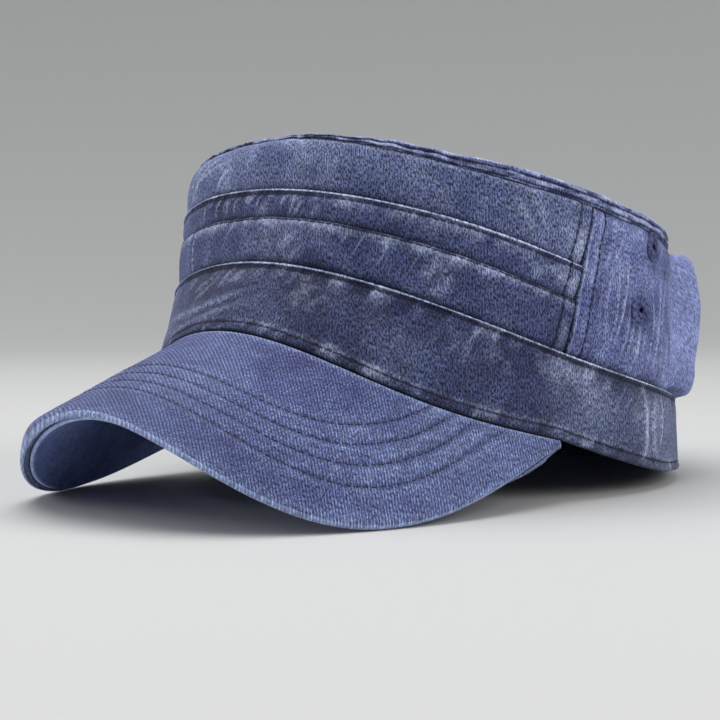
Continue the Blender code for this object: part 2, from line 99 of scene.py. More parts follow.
SECTIONS = (
    Section(0, 1.000, 1.000, 1.00, 1.00, 1.00, 1.00),
    Section(30, 1.001, 0.894, 1.12, 1.08, 1.08, 0.63),
    Section(60, 0.966, 0.681, 1.24, 1.24, 1.31, 0.12),
    Section(90, 0.992, 0.513, 1.12, 1.36, 1.60, 0.11),
    Section(120, 1.019, 0.416, 0.86, 1.41, 1.84, 0.43),
    Section(150, 1.004, 0.370, 0.62, 1.45, 2.05, 0.90),
    Section(180, 1.000, 0.356, 0.52, 1.46, 2.12, 1.12),
)


@functools.cache
def section_weights(column: str) -> Array:
    """The cosine series through one column of SECTIONS.

    Args:
        column: the name of a field of Section.

    Returns:
        One weight for each order of cosine.
    """
    angles = np.radians([section.angle for section in SECTIONS])
    shares = [getattr(section, column) for section in SECTIONS]
    return np.linalg.solve(np.cos(np.outer(angles, np.arange(len(SECTIONS)))), shares)


def section_share(column: str, angle: Array) -> Array:
    """The share at any angle, smooth and alike left and right.

    Args:
        column: the name of a field of Section.
        angle: angles round the head oval, in radians.

    Returns:
        The shares, in the shape of the angles.
    """
    return np.cos(np.multiply.outer(angle, np.arange(len(SECTIONS)))) @ section_weights(column)


def fade(value: Array, low: float, high: float) -> Array:
    """0 below low and 1 above high, smooth between."""
    share = np.clip((value - low) / (high - low), 0, 1)
    return share * share * (3 - 2 * share)


def fade_deg(angle: Array, low: float, high: float) -> Array:
    """The same fade of an angle in radians, between two in degrees."""
    return fade(angle, radians(low), radians(high))


def within_half_turn(angle: Array) -> Array:
    """The same angle, from minus half a turn to half a turn."""
    return (angle + pi) % (2 * pi) - pi


def hill(value: Array, width: float | Array = 1.0) -> Array:
    """1 where the value is 0, falling smoothly to either side over about this width."""
    return np.exp(-((value / width) ** 2))


@dataclass(frozen=True)
class CapForm:
    """The sizes and lines that the pieces share, in the cap's upright frame."""

    crown_length: float = 0.200
    crown_width: float = 0.1714
    band_wall: float = 0.0020
    cloth_wall: float = 0.0012
    welt_wall: float = 0.0014
    gap: float = 0.0003
    band_top_rise: float = 0.0632
    lower_strip: float = 0.0144
    middle_strip: float = 0.0092
    upper_strip: float = 0.0139
    welt_height: float = 0.0045
    front_lean_deg: float = 10.1
    peak_seam_rise: float = 0.0406
    peak_length: float = 0.0532
    peak_width: float = 0.1673
    peak_arch: float = 0.0688
    peak_pitch_deg: float = 30.9
    peak_curl: float = 0.0059
    peak_squareness: float = 2.53
    peak_corner_deg: float = 71.3
    peak_corner_width: float = 0.0010
    peak_corner_thinning: float = 0.4
    peak_cover_wall: float = 0.0022
    peak_lining_wall: float = 0.0014
    peak_lining_inset: float = 0.0010
    peak_flare_share: float = 0.5
    band_behind_peak: float = 0.0052
    hem_fall_deg: float = 42.0
    front_seam_deg: tuple[float, float] = (72.7, 79.5)
    rear_seam_deg: tuple[float, float] = (112.0, 125.0)
    tilt_deg: float = 4.446
    moved_back: float = 0.02336
    lifted: float = 0.00735

    def as_it_lies(self, points: Array) -> Array:
        """The points of the upright frame where the cap lies on the floor.

        Args:
            points: an array whose last axis is X, Y, Z.

        Returns:
            The points tipped back and moved, and pressed flat where they would lie under the floor.
        """
        tilt = radians(self.tilt_deg)
        x, y, z = np.moveaxis(points, -1, 0)
        back = y * math.cos(tilt) + z * math.sin(tilt) + self.moved_back
        up = -y * math.sin(tilt) + z * math.cos(tilt) + self.lifted
        return np.stack([x, back, np.maximum(up, 0.0001)], -1)

    def oval_radius(self, angle: Array) -> Array:
        """Plan radius of the band's outer face at its foot."""
        plain = 1 / np.hypot(np.cos(angle) / (self.crown_length / 2), np.sin(angle) / (self.crown_width / 2))
        return plain * section_share("plan", angle)

    @functools.cached_property
    def girth_table(self) -> tuple[Array, Array]:
        """Angles from back to front to back, and the length round the oval from the front at each."""
        angle = np.linspace(-pi, pi, 2881)
        radius = self.oval_radius(angle)
        spots = np.stack([radius * np.sin(angle), radius * np.cos(angle)], -1)
        run = np.concatenate([[0], np.cumsum(np.linalg.norm(np.diff(spots, axis=0), axis=1))])
        return angle, run - run[-1] / 2

    @property
    def girth(self) -> float:
        """Length once round the oval."""
        return 2 * float(self.girth_table[1][-1])

    def run(self, angle: Array) -> Array:
        """Length round the oval from the front to an angle, minus on the wearer's right."""
        turns = np.round(angle / (2 * pi))
        return np.interp(angle - turns * 2 * pi, *self.girth_table) + turns * self.girth

    def band_top(self, angle: Array) -> Array:
        """Height of the band's folded top edge."""
        return self.band_top_rise * section_share("band_top", angle)

    def lower_tuck(self, angle: Array) -> Array:
        """Height of the fold where the lower strip laps over the middle one."""
        return self.band_top(angle) + self.lower_strip * section_share("lower", angle)

    def upper_tuck(self, angle: Array) -> Array:
        """Height of the fold where the middle strip laps over the upper one."""
        return self.lower_tuck(angle) + self.middle_strip * section_share("middle", angle)

    def top_edge(self, angle: Array) -> Array:
        """Height of the crown's top edge."""
        return self.upper_tuck(angle) + self.upper_strip * section_share("upper", angle) + self.welt_height

    def softness(self, angle: Array) -> Array:
        """How far the top edge is worn round: 1 on the right front, 0 on the left and at the back."""
        turned = within_half_turn(angle)
        return fade_deg(-turned, -32, 30) * fade_deg(turned, -80, -52)

    def worn_top(self, angle: Array) -> Array:
        """Height of the crown's top edge, slumped where it is worn round."""
        return self.top_edge(angle) - 0.5 * MM - 1.6 * MM * self.softness(angle)

    def welt_show(self, angle: Array) -> Array:
        """How much of the welt's height shows, narrow where the wall's cloth rolls over it at the front."""
        turned = within_half_turn(angle)
        left = fade_deg(turned, 0, 62)
        right = fade_deg(-turned, 52, 80)
        return 0.16 + 0.84 * np.maximum(left, right)

    def welt_foot(self, angle: Array) -> Array:
        """Height of the welt's lower edge."""
        return self.worn_top(angle) - self.welt_height * self.welt_show(angle)

    def peak_height(self, x: Array, y: Array) -> Array:
        """Height of the peak's top skin."""
        ahead = -(y + self.crown_length / 2)
        run = ahead / self.peak_length
        arch = self.peak_arch * (x / (self.peak_width / 2)) ** 2
        fall = math.tan(radians(self.peak_pitch_deg)) * ahead
        return self.peak_seam_rise - arch - fall + self.peak_curl * run * abs(run)

    def band_foot(self, angle: Array) -> Array:
        """Height of the band's visible lower edge: the peak's seam, then falling to level at the back."""
        away = np.abs(within_half_turn(angle))
        corner = radians(self.peak_corner_deg)
        seam_part = np.minimum(away, corner)
        radius = self.oval_radius(seam_part)
        seam = self.peak_height(radius * np.sin(seam_part), -radius * np.cos(seam_part))
        fall = 1 - np.clip((away - corner) / radians(self.hem_fall_deg), 0, 1)
        return seam * fall**1.5

    def hem(self, angle: Array) -> Array:
        """Height of the band's lower edge, which runs on a little behind the peak."""
        away = np.abs(within_half_turn(angle))
        behind = self.band_behind_peak * (1 - np.clip(away / radians(self.peak_corner_deg), 0, 1) ** 4)
        return self.band_foot(angle) - behind

    def plan_normal(self, angle: Array) -> Array:
        """The oval's outward normal, level."""
        step = 1e-4
        radius = self.oval_radius(angle)
        growth = (self.oval_radius(angle + step) - self.oval_radius(angle - step)) / (2 * step)
        along_x = growth * np.sin(angle) + radius * np.cos(angle)
        along_y = -growth * np.cos(angle) + radius * np.sin(angle)
        length = np.hypot(along_x, along_y)
        return np.stack([along_y / length, -along_x / length, np.zeros_like(angle)], -1)

    def wall(self, angle: Array, height: Array, stand: Array | float = 0.0) -> Array:
        """Points on the crown's wall.

        Args:
            angle: angles round the head oval.
            height: heights above the back of the hem.
            stand: how far the points stand out from the wall's outer face.

        Returns:
            The points, with X, Y, Z on a last axis.
        """
        lean = np.tan(np.radians(self.front_lean_deg) * section_share("lean", angle))
        foot, top = self.band_foot(angle), self.band_top(angle)
        up_band = np.clip((height - foot) / (top - foot), 0, 1)
        radius = self.oval_radius(angle) - lean * (top * up_band + np.maximum(height - top, 0))
        points = np.stack([radius * np.sin(angle), -radius * np.cos(angle), height + 0 * radius], -1)
        return points + (np.zeros_like(angle) + stand)[..., None] * self.plan_normal(angle)

    def seam_angle(self, seam_deg: tuple[float, float], line: Line) -> float:
        """The angle at which a slanting seam crosses a line.

        Args:
            seam_deg: its angles at the band and at the top edge, in degrees.
            line: what it crosses.

        Returns:
            The angle in radians.
        """
        low, high = (radians(degrees) for degrees in seam_deg)
        angle = np.array(low)
        for _ in range(6):
            bottom = self.band_top(angle)
            angle = low + (high - low) * (line(angle) - bottom) / (self.top_edge(angle) - bottom)
        return float(angle)


class SmoothNoise:
    """Seeded smooth noise over cloth, from -1 to 1, which closes on itself once round the cap."""

    CELLS = 256

    def __init__(self, seed: int, girth: float) -> None:
        """Draws the noise's lattice.

        Args:
            seed: fixes the pattern.
            girth: the length after which it repeats along the cloth.
        """
        self.lattice = np.random.default_rng(seed).uniform(-1, 1, (self.CELLS, self.CELLS))
        self.girth = girth

    def __call__(
        self, along: Array, across: Array, size: float, size_across: float = 0.0
    ) -> Array:
        """The noise at each spot.

        Args:
            along: lengths round the cap.
            across: lengths up the cloth.
            size: the size of a cell along the cloth.
            size_across: its size across, the same where it isn't given.

        Returns:
            The values, in the shape of the lengths.
        """
        cells = min(max(round(self.girth / size), 1), self.CELLS)
        x, y = along / self.girth * cells, across / (size_across or size)
        column, row = np.floor(x).astype(int), np.floor(y).astype(int)
        share_x, share_y = x - column, y - row
        share_x = share_x * share_x * (3 - 2 * share_x)
        share_y = share_y * share_y * (3 - 2 * share_y)
        left, right = column % cells, (column + 1) % cells
        low, high = row % self.CELLS, (row + 1) % self.CELLS
        near = self.lattice[left, low] * (1 - share_x) + self.lattice[right, low] * share_x
        far = self.lattice[left, high] * (1 - share_x) + self.lattice[right, high] * share_x
        return near * (1 - share_y) + far * share_y


@dataclass(frozen=True)
class Station:
    """A line along a piece of cloth, how far it stands out from the wall, and how pale and how dark it is:
    worn cloth and dye, with painted light and shade.
    """

    line: Line
    rise: float = 0.0
    stand: float | Array = 0.0
    wear_and_painted_light: float = 0.0
    dark: float = 0.0
    stitched: bool = False

    def height(self, angle: Array) -> Array:
        """Its height at each angle."""
        return self.line(angle) + self.rise


def on_line(line: Line, *rows: tuple[float, ...]) -> list[Station]:
    """Stations on one line; a row is a rise and a stand in millimetres, pale marks from worn cloth and
    painted light, dark marks from dye and painted shade, and whether stitched.
    """
    return [Station(line, rise * MM, stand * MM, *marks) for rise, stand, *marks in rows]


def midway(low: Line, rise: float, high: Line, high_rise: float, part: float) -> Line:
    """The line a share of the way from one line, raised a little, to another, raised a little too."""
    return lambda angle: (low(angle) + rise) * (1 - part) + (high(angle) + high_rise) * part


def tucked_foot(low: Line, tucked: float) -> list[Station]:
    """The lower edge of a strip, which lies this far in behind the fold of the piece below it, darkened there
    with painted shadow from that fold.
    """
    # Each row: rise in millimetres, share of the tuck, and the darkness of the painted shadow
    rows = ((-3.0, 1, 0.9), (-0.2, 1, 0.9), (0.6, 0.8, 0.55), (2.2, 0.55, 0.1))
    return [Station(low, rise * MM, share * tucked, 0.0, dark) for rise, share, dark in rows]


@dataclass(frozen=True)
class Crease:
    """A soft crease from one spot to another, each an angle in degrees and a share of the piece's height."""

    angle: float
    share: float
    angle_end: float
    share_end: float
    width_mm: float
    depth_mm: float  # Below 0 the crease is a ridge


def placed(name: str, data: ID) -> Object:
    """Makes an object of this data and puts it in the scene."""
    made = bpy.data.objects.new(name, data)
    bpy.context.scene.collection.objects.link(made)
    return made


def ring_quads(count: int, columns: int, ends: int) -> Array:
    """Faces between rows of points, the last of which joins the first.

    Args:
        count: how many rows there are.
        columns: how many points each has.
        ends: how many of its columns start a face.

    Returns:
        Four numbers of points for each face.
    """
    number = np.arange(count * columns).reshape(count, columns)
    up = np.roll(number, -1, axis=0)
    corners = [number, np.roll(number, -1, axis=1), np.roll(up, -1, axis=1), up]
    return np.stack(corners, -1)[:, :ends].reshape(-1, 4)


def turned_in(points: Array, quads: Array) -> bool:
    """Whether the faces of a closed surface point inwards."""
    a, b, c, d = (points[quads[:, i]] - points[0] for i in range(4))
    return bool(np.einsum("ij,ij->i", a, np.cross(b, c) + np.cross(c, d)).sum() < 0)


class ClothSheet:
    """A sheet of cloth through stations, as dense rows of points from its lower edge to its upper one."""

    def __init__(self, form: CapForm, stations: Sequence[Station], ends: Ends, spacing: float) -> None:
        """Lays the sheet.

        Args:
            form: the cap's lines.
            stations: the lines that it passes through, from its lower edge to its upper one.
            ends: gives the angles of the points on a line.
            spacing: the most that two rows lie apart.
        """
        self.form, self.ends = form, ends
        rows = []
        for station in stations:
            angle = ends(station.height)
            points = form.wall(angle, station.height(angle), station.stand)
            marks = np.stack([angle, 0 * angle + station.wear_and_painted_light, 0 * angle + station.dark], -1)
            rows.append(np.concatenate([points, marks], -1))
        dense, self.station_rows = self.smooth(np.array(rows), spacing)
        self.points = dense[..., :3]
        self.angle = dense[..., 3]
        self.wear_and_painted_light = np.clip(dense[..., 4], 0, 1)
        self.dark = np.clip(dense[..., 5], 0, 1)
        self.stitch_rows = [row for row, station in zip(self.station_rows, stations) if station.stitched]
        self.along = form.run(self.angle)
        steps = np.linalg.norm(np.diff(self.points, axis=0), axis=-1)
        self.across = np.concatenate([np.zeros((1, steps.shape[1])), np.cumsum(steps, axis=0)])

    @staticmethod
    def smooth(rows: Array, spacing: float) -> tuple[Array, list[int]]:
        """Passes smooth curves through the stations.

        Args:
            rows: stations by points by channels, the first three of which are X, Y, Z.
            spacing: the most that two of the new rows lie apart.

        Returns:
            The dense rows, and the number of the dense row at each station.
        """
        chords = np.maximum(np.linalg.norm(np.diff(rows[..., :3], axis=0), axis=-1).mean(axis=1), 1e-6)
        slopes = np.diff(rows, axis=0) / chords[:, None, None]
        tangents = np.concatenate([slopes[:1], slopes])
        for i in range(1, len(chords)):
            before, after = chords[i - 1], chords[i]
            tangents[i] = (slopes[i - 1] * after + slopes[i] * before) / (before + after)
        dense, places = [], []
        for i, chord in enumerate(chords):
            steps = max(int(math.ceil(chord / spacing)), 2)
            places.append(len(dense))
            for j in range(steps):
                t = j / steps
                dense.append(
                    (2 * t**3 - 3 * t**2 + 1) * rows[i]
                    + (t**3 - 2 * t**2 + t) * chord * tangents[i]
                    + (3 * t**2 - 2 * t**3) * rows[i + 1]
                    + (t**3 - t**2) * chord * tangents[i + 1]
                )
        places.append(len(dense))
        dense.append(rows[-1])
        return np.array(dense), places

    def normals(self) -> Array:
        """The sheet's outward normals."""
        normals = np.cross(np.gradient(self.points, axis=1), np.gradient(self.points, axis=0))
        return normals / np.maximum(np.linalg.norm(normals, axis=-1, keepdims=True), 1e-12)

    def move_out(self, amount: Array) -> None:
        """Moves the cloth out along its normals by an amount at each point."""
        self.points = self.points + self.normals() * amount[..., None]

    def mark(self, wear_and_painted_light: Array | float, dark: Array | float = 0) -> None:
        """Adds pale marks, from worn cloth and painted light, and dark marks, from dye and painted shade, at
        each point.
        """
        self.wear_and_painted_light, self.dark = np.clip(self.wear_and_painted_light + wear_and_painted_light, 0, 1), np.clip(self.dark + dark, 0, 1)

    def share(self) -> Array:
        """Where each point lies from the sheet's lower edge, 0, to its upper one, 1."""
        return self.across / self.across[-1:]

    def pucker(self, noise: SmoothNoise, height: float, reach: float) -> None:
        """Puckers the cloth beside its stitched rows, more below them than above, wears the high spots and
        darkens the low ones, partly deep dye and partly painted shade.

        Args:
            noise: the pattern of the puckers.
            height: how high they stand.
            reach: how far below the stitches they fade out.
        """
        for row in self.stitch_rows:
            away = self.across - self.across[row]
            near = hill(away, np.where(away < 0, reach, 0.5 * reach))
            slanted = self.along - 0.6 * away
            wave = 0.7 * noise(slanted, away, 2.9 * MM, 3 * reach)
            wave += 0.5 * noise(self.along, away, 6.5 * MM, 4 * reach)
            self.move_out(height * near * wave)
            # High spots worn pale; low spots darker, partly deep dye and partly painted shade
            self.mark(0.45 * near * np.clip(wave - 0.1, 0, 1), 0.65 * near * np.clip(-wave, 0, 1))
            if reach > 2 * MM:
                lines = hill(noise(slanted, away + 0.2, 5.0 * MM, 5 * reach), 0.14)
                lines *= fade(noise(self.along, away + 0.4, 11 * MM, 3 * reach), -0.1, 0.5)
                lines *= fade(-away, 0.8 * MM, 2.5 * MM) * hill(away, 2.2 * reach)
                self.move_out(0.12 * MM * lines)
                self.mark(0.5 * lines)

    def fray(self, noise: SmoothNoise, pitch: float) -> None:
        """Breaks a worn fold into short pale dashes, one for each stitch that draws it in.

        Args:
            noise: how uneven the dashes are.
            pitch: the length of a stitch and its gap.
        """
        edge = fade(self.wear_and_painted_light, 0.35, 0.7)
        beat = np.sin(2 * pi * self.along / pitch + 2.2 * noise(self.along, 0 * self.along, 9 * MM))
        drawn = fade(beat, 0.2, 0.95)
        worn = 0.75 + 0.45 * noise(self.along, 0 * self.along + 0.4, 14 * MM)
        self.move_out(-0.10 * MM * edge * drawn)
        self.wear_and_painted_light = np.clip(self.wear_and_painted_light * (1 - 0.5 * edge * drawn) * (1 - edge + edge * worn), 0, 1)

    def cloud(self, noise: SmoothNoise, size: float, pale: float, deep: float, below: float = 0.0) -> None:
        """Washes cloudy pale and deep patches into the cloth.

        Args:
            noise: the pattern.
            size: how long the patches are.
            pale: how pale the palest are.
            deep: how deep the deepest are.
            below: where it isn't 0, the patches keep within this distance below the last stitched row.
        """
        cloudy = 0.7 * noise(self.along, self.across + 0.2, size, 0.8 * size)
        cloudy += 0.5 * noise(self.along, self.across + 0.6, 0.4 * size, 0.5 * size)
        if below:
            away = self.across[self.stitch_rows[-1]] - self.across
            cloudy = cloudy * hill(np.maximum(away, 0), below) * (away > 0)
        self.mark(pale * np.clip(cloudy - 0.08, 0, 1), deep * np.clip(-cloudy - 0.08, 0, 1))

    def slacken(self, noise: SmoothNoise, amount: float) -> None:
        """Lets the cloth undulate as washed cotton does, less at its edges.

        Args:
            noise: the pattern.
            amount: how far the widest waves move it.
        """
        share = self.share()
        free = fade(share, 0.0, 0.12) * fade(1 - share, 0.0, 0.12)
        waves = noise(self.along, self.across, 26 * MM, 20 * MM)
        waves += 0.45 * noise(self.along, self.across + 0.3, 11 * MM, 9 * MM)
        waves += 0.2 * noise(self.along, self.across + 0.7, 5 * MM)
        self.move_out(amount * free * waves)

    def crease(self, creases: Sequence[Crease]) -> None:
        """Presses soft creases into the cloth, with a ridge beside each: the high parts are paler, worn and
        painted lit, and the low parts carry painted shade.

        Args:
            creases: where they run.
        """
        share = self.share()
        height = float(self.across[-1].mean())
        total = np.zeros_like(share)
        for crease in creases:
            start = np.array([float(self.form.run(np.radians(crease.angle))), crease.share * height])
            end = np.array([float(self.form.run(np.radians(crease.angle_end))), crease.share_end * height])
            length = max(float(np.linalg.norm(end - start)), 1e-6)
            way = (end - start) / length
            x, y = self.along - start[0], share * height - start[1]
            along = x * way[0] + y * way[1]
            hollowed = crease.depth_mm > 0
            bow = 0.07 * length * np.sin(np.clip(along / length, 0, 1) * pi) * (1 if hollowed else -1)
            beside = (x * way[1] - y * way[0] + bow) / (crease.width_mm * MM)
            ends = fade(along, -0.15 * length, 0.25 * length) * fade(-along, -1.15 * length, -0.75 * length)
            hollow = hill(beside)
            ridge = hill(beside - 1.5) + 0.6 * hill(beside + 1.6)
            total += ends * (crease.depth_mm * MM) * (0.5 * ridge - hollow)
            strength = min(abs(crease.depth_mm) / 0.3, 1.0)
            # High parts paler, worn and painted light; low parts painted shade
            lit, shaded, pale = (ridge, hollow, 0.28) if hollowed else (hollow, 0.5 * ridge, 0.42)
            self.mark(strength * ends * lit * pale, 0.28 * strength * ends * shaded)
        self.move_out(total)


def linear(colour: str) -> tuple[float, float, float, float]:
    """An sRGB hex colour as linear RGB with alpha 1."""
    values = [int(colour[i : i + 2], 16) / 255 for i in (1, 3, 5)]
    red, green, blue = (v / 12.92 if v <= 0.04045 else ((v + 0.055) / 1.055) ** 2.4 for v in values)
    return red, green, blue, 1.0


MATH, VECTOR_MATH, RANGE = "ShaderNodeMath", "ShaderNodeVectorMath", "ShaderNodeMapRange"
NOISE, MIX, PLACE = "ShaderNodeTexNoise", "ShaderNodeMix", "ShaderNodeTexCoord"


def add_node(
    tree: NodeTree, kind: str, inputs: dict | Sequence = (), **settings: object
) -> bpy.types.bpy_prop_collection:
    """Adds a node.

    Args:
        tree: the tree that it goes in.
        kind: its type.
        inputs: values, or the sockets that feed it, in order or by name or number.
        settings: the node's own properties.

    Returns:
        The node's outputs.
    """
    node = tree.nodes.new(kind)
    for name, value in settings.items():
        setattr(node, name, value)
    for key, value in inputs.items() if isinstance(inputs, dict) else enumerate(inputs):
        if isinstance(value, NodeSocket):
            tree.links.new(value, node.inputs[key])
        else:
            node.inputs[key].default_value = value
    return node.outputs


@dataclass(frozen=True)
class WashedTwill:
    """Garment-washed cotton twill: dyed deep, then washed pale on its high spots, matt with a soft fuzz."""

    name: str
    deep: str
    body: str
    bloom: str
    pale: str
    shadow: str
    rib_mm: float = 1.1
    rib_deg: float = 84.0
    rib_show: float = 0.10
    speckle: float = 0.78
    yarn_mm: tuple[float, float] = (0.53, 1.1)
    sheen: float = 0.2
    roughness: float = 0.92

    def material(self) -> Material:
        """Builds the cloth's material.

        Returns:
            A material on the cloth's own map, which reads its pale marks, worn cloth and painted light, and
            its dark marks, dye and painted shade.
        """
        material = bpy.data.materials.new(self.name)
        material.use_nodes = True
        tree = material.node_tree
        shader = tree.nodes["Principled BSDF"]
        add = functools.partial(add_node, tree)
        cloth = add("ShaderNodeUVMap", uv_map="cloth")["UV"]
        place = add(PLACE)["Object"]
        wear_and_painted_light = add("ShaderNodeAttribute", attribute_name="wear_and_painted_light")["Fac"]
        dark = add("ShaderNodeAttribute", attribute_name="dark")["Fac"]

        # Across and along the twill's ribs in millimetres, for yarns about 0.5 mm wide and 1 mm long, drawn
        # coarser than real ones so that they show. Single yarns took the dye unevenly: the heathered look
        side, way = math.sin(radians(self.rib_deg)) / MM, math.cos(radians(self.rib_deg)) / MM
        across = add(VECTOR_MATH, (cloth, (side, way, 0)), operation="DOT_PRODUCT")["Value"]
        lengthwise = add(VECTOR_MATH, (cloth, (way, -side, 0)), operation="DOT_PRODUCT")["Value"]
        wide = add(MATH, (across, self.yarn_mm[0]), operation="DIVIDE")[0]
        long = add(MATH, (lengthwise, self.yarn_mm[1]), operation="DIVIDE")[0]
        yarns = add("ShaderNodeCombineXYZ", (wide, long))[0]

        # Noises: where, the size of a cell in millimetres, and detail. On the yarns a cell is one yarn
        tufts, hues, clouds, blotches, bend, grain = (
            add(NOISE, {"Vector": where, "Scale": 1 / (size * MM), "Detail": detail, "Roughness": 0.6})[0]
            for where, size, detail in (
                (place, 1.9, 2.0),
                (place, 22.0, 3.0),
                (place, 34.0, 3.0),
                (place, 8.0, 4.0),
                (cloth, 6.0, 2.0),
                (yarns, 1 / MM, 2.0),
            )
        )
        bent = add(MATH, (bend, 1.5), operation="MULTIPLY")[0]
        phase = add(MATH, (across, 2 * pi / self.rib_mm), operation="MULTIPLY")[0]
        ribs = add(MATH, (add(MATH, (phase, bent), operation="ADD")[0],), operation="SINE")[0]
        yarn = add(MATH, (ribs, self.rib_show, 1.0), operation="MULTIPLY_ADD")[0]
        fleck = add(RANGE, (grain, 0.41, 0.59, 1 - self.speckle, 1 + self.speckle))[0]
        tuft = add(RANGE, (tufts, 0.3, 0.7, 0.78, 1.22))[0]
        shade = add(MATH, (add(MATH, (yarn, fleck), operation="MULTIPLY")[0], tuft), operation="MULTIPLY")[0]

        # Uneven dye: clouds a few centimetres wide and smaller blotches, from blue to a faint purple
        both = add(MATH, (clouds, blotches), operation="ADD")[0]
        # The pale colour goes where the cloth is worn and where light is painted in; the shadow colour goes
        # where the dye lies deep and where shade is painted in
        rubbed_and_lit = add(MATH, (wear_and_painted_light, add(RANGE, (tufts, 0.3, 0.7, 0.7, 1.2))[0]), operation="MULTIPLY")[0]
        painted_shade_and_dye = add(MATH, (dark, add(RANGE, (tufts, 0.3, 0.7, 1.1, 0.85))[0]), operation="MULTIPLY")[0]
        tint = linear(self.deep)
        for share, low, high, colour in (
            (hues, 0.40, 0.60, self.body),
            (both, 0.80, 1.32, self.bloom),
            (rubbed_and_lit, 0.0, 1.0, self.pale),
            (painted_shade_and_dye, 0.0, 1.0, self.shadow),
        ):
            mixed = {0: add(RANGE, (share, low, high))[0], 6: tint, 7: linear(colour)}
            tint = add(MIX, mixed, data_type="RGBA")[2]

        # Where the cloth is worn and where light is painted in, single yarns and ribs show less
        lack = add(MATH, (1.1, shade), operation="SUBTRACT")[0]
        even = add(MATH, (lack, add(MATH, (wear_and_painted_light, 0.75), operation="MULTIPLY")[0]), operation="MULTIPLY")[0]
        light = add(MATH, (shade, even), operation="ADD")[0]
        tint = add(VECTOR_MATH, {0: tint, "Scale": light}, operation="SCALE")[0]
        fine = add(MATH, (grain, 1.2), operation="MULTIPLY")[0]
        relief = add(MATH, (ribs, 0.3, fine), operation="MULTIPLY_ADD")[0]
        bump = add("ShaderNodeBump", {"Strength": 0.6, "Distance": 0.2 * MM, "Height": relief})["Normal"]
        tree.links.new(tint, shader.inputs["Base Color"])
        tree.links.new(bump, shader.inputs["Normal"])
        shader.inputs["Roughness"].default_value = self.roughness
        shader.inputs["Specular IOR Level"].default_value = 0.2
        shader.inputs["Sheen Weight"].default_value = self.sheen
        shader.inputs["Sheen Roughness"].default_value = 0.6
        shader.inputs["Sheen Tint"].default_value = linear("#C9D2EE")
        return material


@dataclass(frozen=True)
class SpunThread:
    """Spun polyester sewing thread: dark, a little glossier than the cloth."""

    name: str
    colour: str
    roughness: float = 0.6
    mottle_mm: float = 0.5
    contrast: float = 0.4

    def material(self) -> Material:
        """Builds the thread's material, with the gleam and shade of its twisted plies painted in as a fine
        ripple.
        """
        material = bpy.data.materials.new(self.name)
        material.use_nodes = True
        tree = material.node_tree
        shader = tree.nodes["Principled BSDF"]
        place = add_node(tree, PLACE)["Object"]
        ripple = {"Vector": place, "Scale": 1 / (self.mottle_mm * MM), "Detail": 2.0, "Roughness": 0.6}
        plies = add_node(tree, NOISE, ripple)[0]
        share = add_node(tree, RANGE, (plies, 0.38, 0.62))[0]
        shares = (1 - self.contrast, 1 + self.contrast)
        dim, lit = (tuple(part * share for part in linear(self.colour)[:3]) + (1.0,) for share in shares)
        colour = add_node(tree, MIX, {0: share, 6: dim, 7: lit}, data_type="RGBA")[2]
        tree.links.new(colour, shader.inputs["Base Color"])
        shader.inputs["Roughness"].default_value = self.roughness
        return material


class Cloth(Enum):
    """The cloths of the cap, one for each way that it is worn, some of them painted lighter for how the light
    falls on them.
    """

    # The wall's cloth keeps a deep, even navy that pales only on its folds
    CROWN = WashedTwill("washed_twill_crown", "#363D62", "#424872", "#535D85", "#C6D2F2", "#171B36")
    # The top strip is greyer and a little lighter
    UPPER = WashedTwill("washed_twill_upper", "#475078", "#565E88", "#707A9F", "#C6D2F2", "#1B2040")
    # The band is the darkest, with a hint of purple
    BAND = WashedTwill("washed_twill_band", "#2B2A4B", "#34375C", "#475175", "#C6D2F2", "#15172E")
    # The sides and the back are painted paler, for the light that falls on them from behind the wearer's
    # left, and are softer, so their yarns stand out less
    SIDE = WashedTwill(
        "washed_twill_side_painted_lighter", "#494E7F", "#575F93", "#747EAE", "#BAC6EC", "#1E2345", speckle=0.7
    )
    BACK = WashedTwill(
        "washed_twill_back_painted_lighter", "#4E5588", "#5E669E", "#7C87BA", "#BAC6EC", "#1E2345", speckle=0.5
    )
    # The peak's cloth is cut on the bias and held flat, so its ribs show as slanting lines
    PEAK = WashedTwill(
        "washed_twill_peak",
        "#3F4270", "#494F7D", "#5A6691", "#A9BBE2", "#191D3C",
        rib_mm=1.13,
        rib_deg=145.7,
        rib_show=0.5,
        speckle=0.75,
        yarn_mm=(0.42, 0.65),
    )
    # The lining is unworn and closely woven, a smooth even blue, painted far paler than its dark navy to
    # stand in for the light bounced in under the peak
    LINING = WashedTwill(
        "twill_lining_painted_lighter",
        "#616FA9", "#6B7EBD", "#7E92D3", "#C9DDFF", "#141A30",
        rib_show=0.05,
        speckle=0.15,
        sheen=0.1,
    )

    @functools.cached_property
    def material(self) -> Material:
        """The cloth's material, built once."""
        return self.value.material()


class Thread(Enum):
    """The threads of the cap."""

    # Sewing thread, navy, with the faint gleam of its twist
    SEAM = SpunThread("spun_thread_navy", "#141833")
    # Embroidery thread, softer and duller, with painted light and shade by turns where its loops lie
    EYELET = SpunThread("embroidery_thread_navy", "#454C76", roughness=0.8, mottle_mm=1.3, contrast=0.75)

    @functools.cached_property
    def material(self) -> Material:
        """The thread's material, built once."""
        return self.value.material()


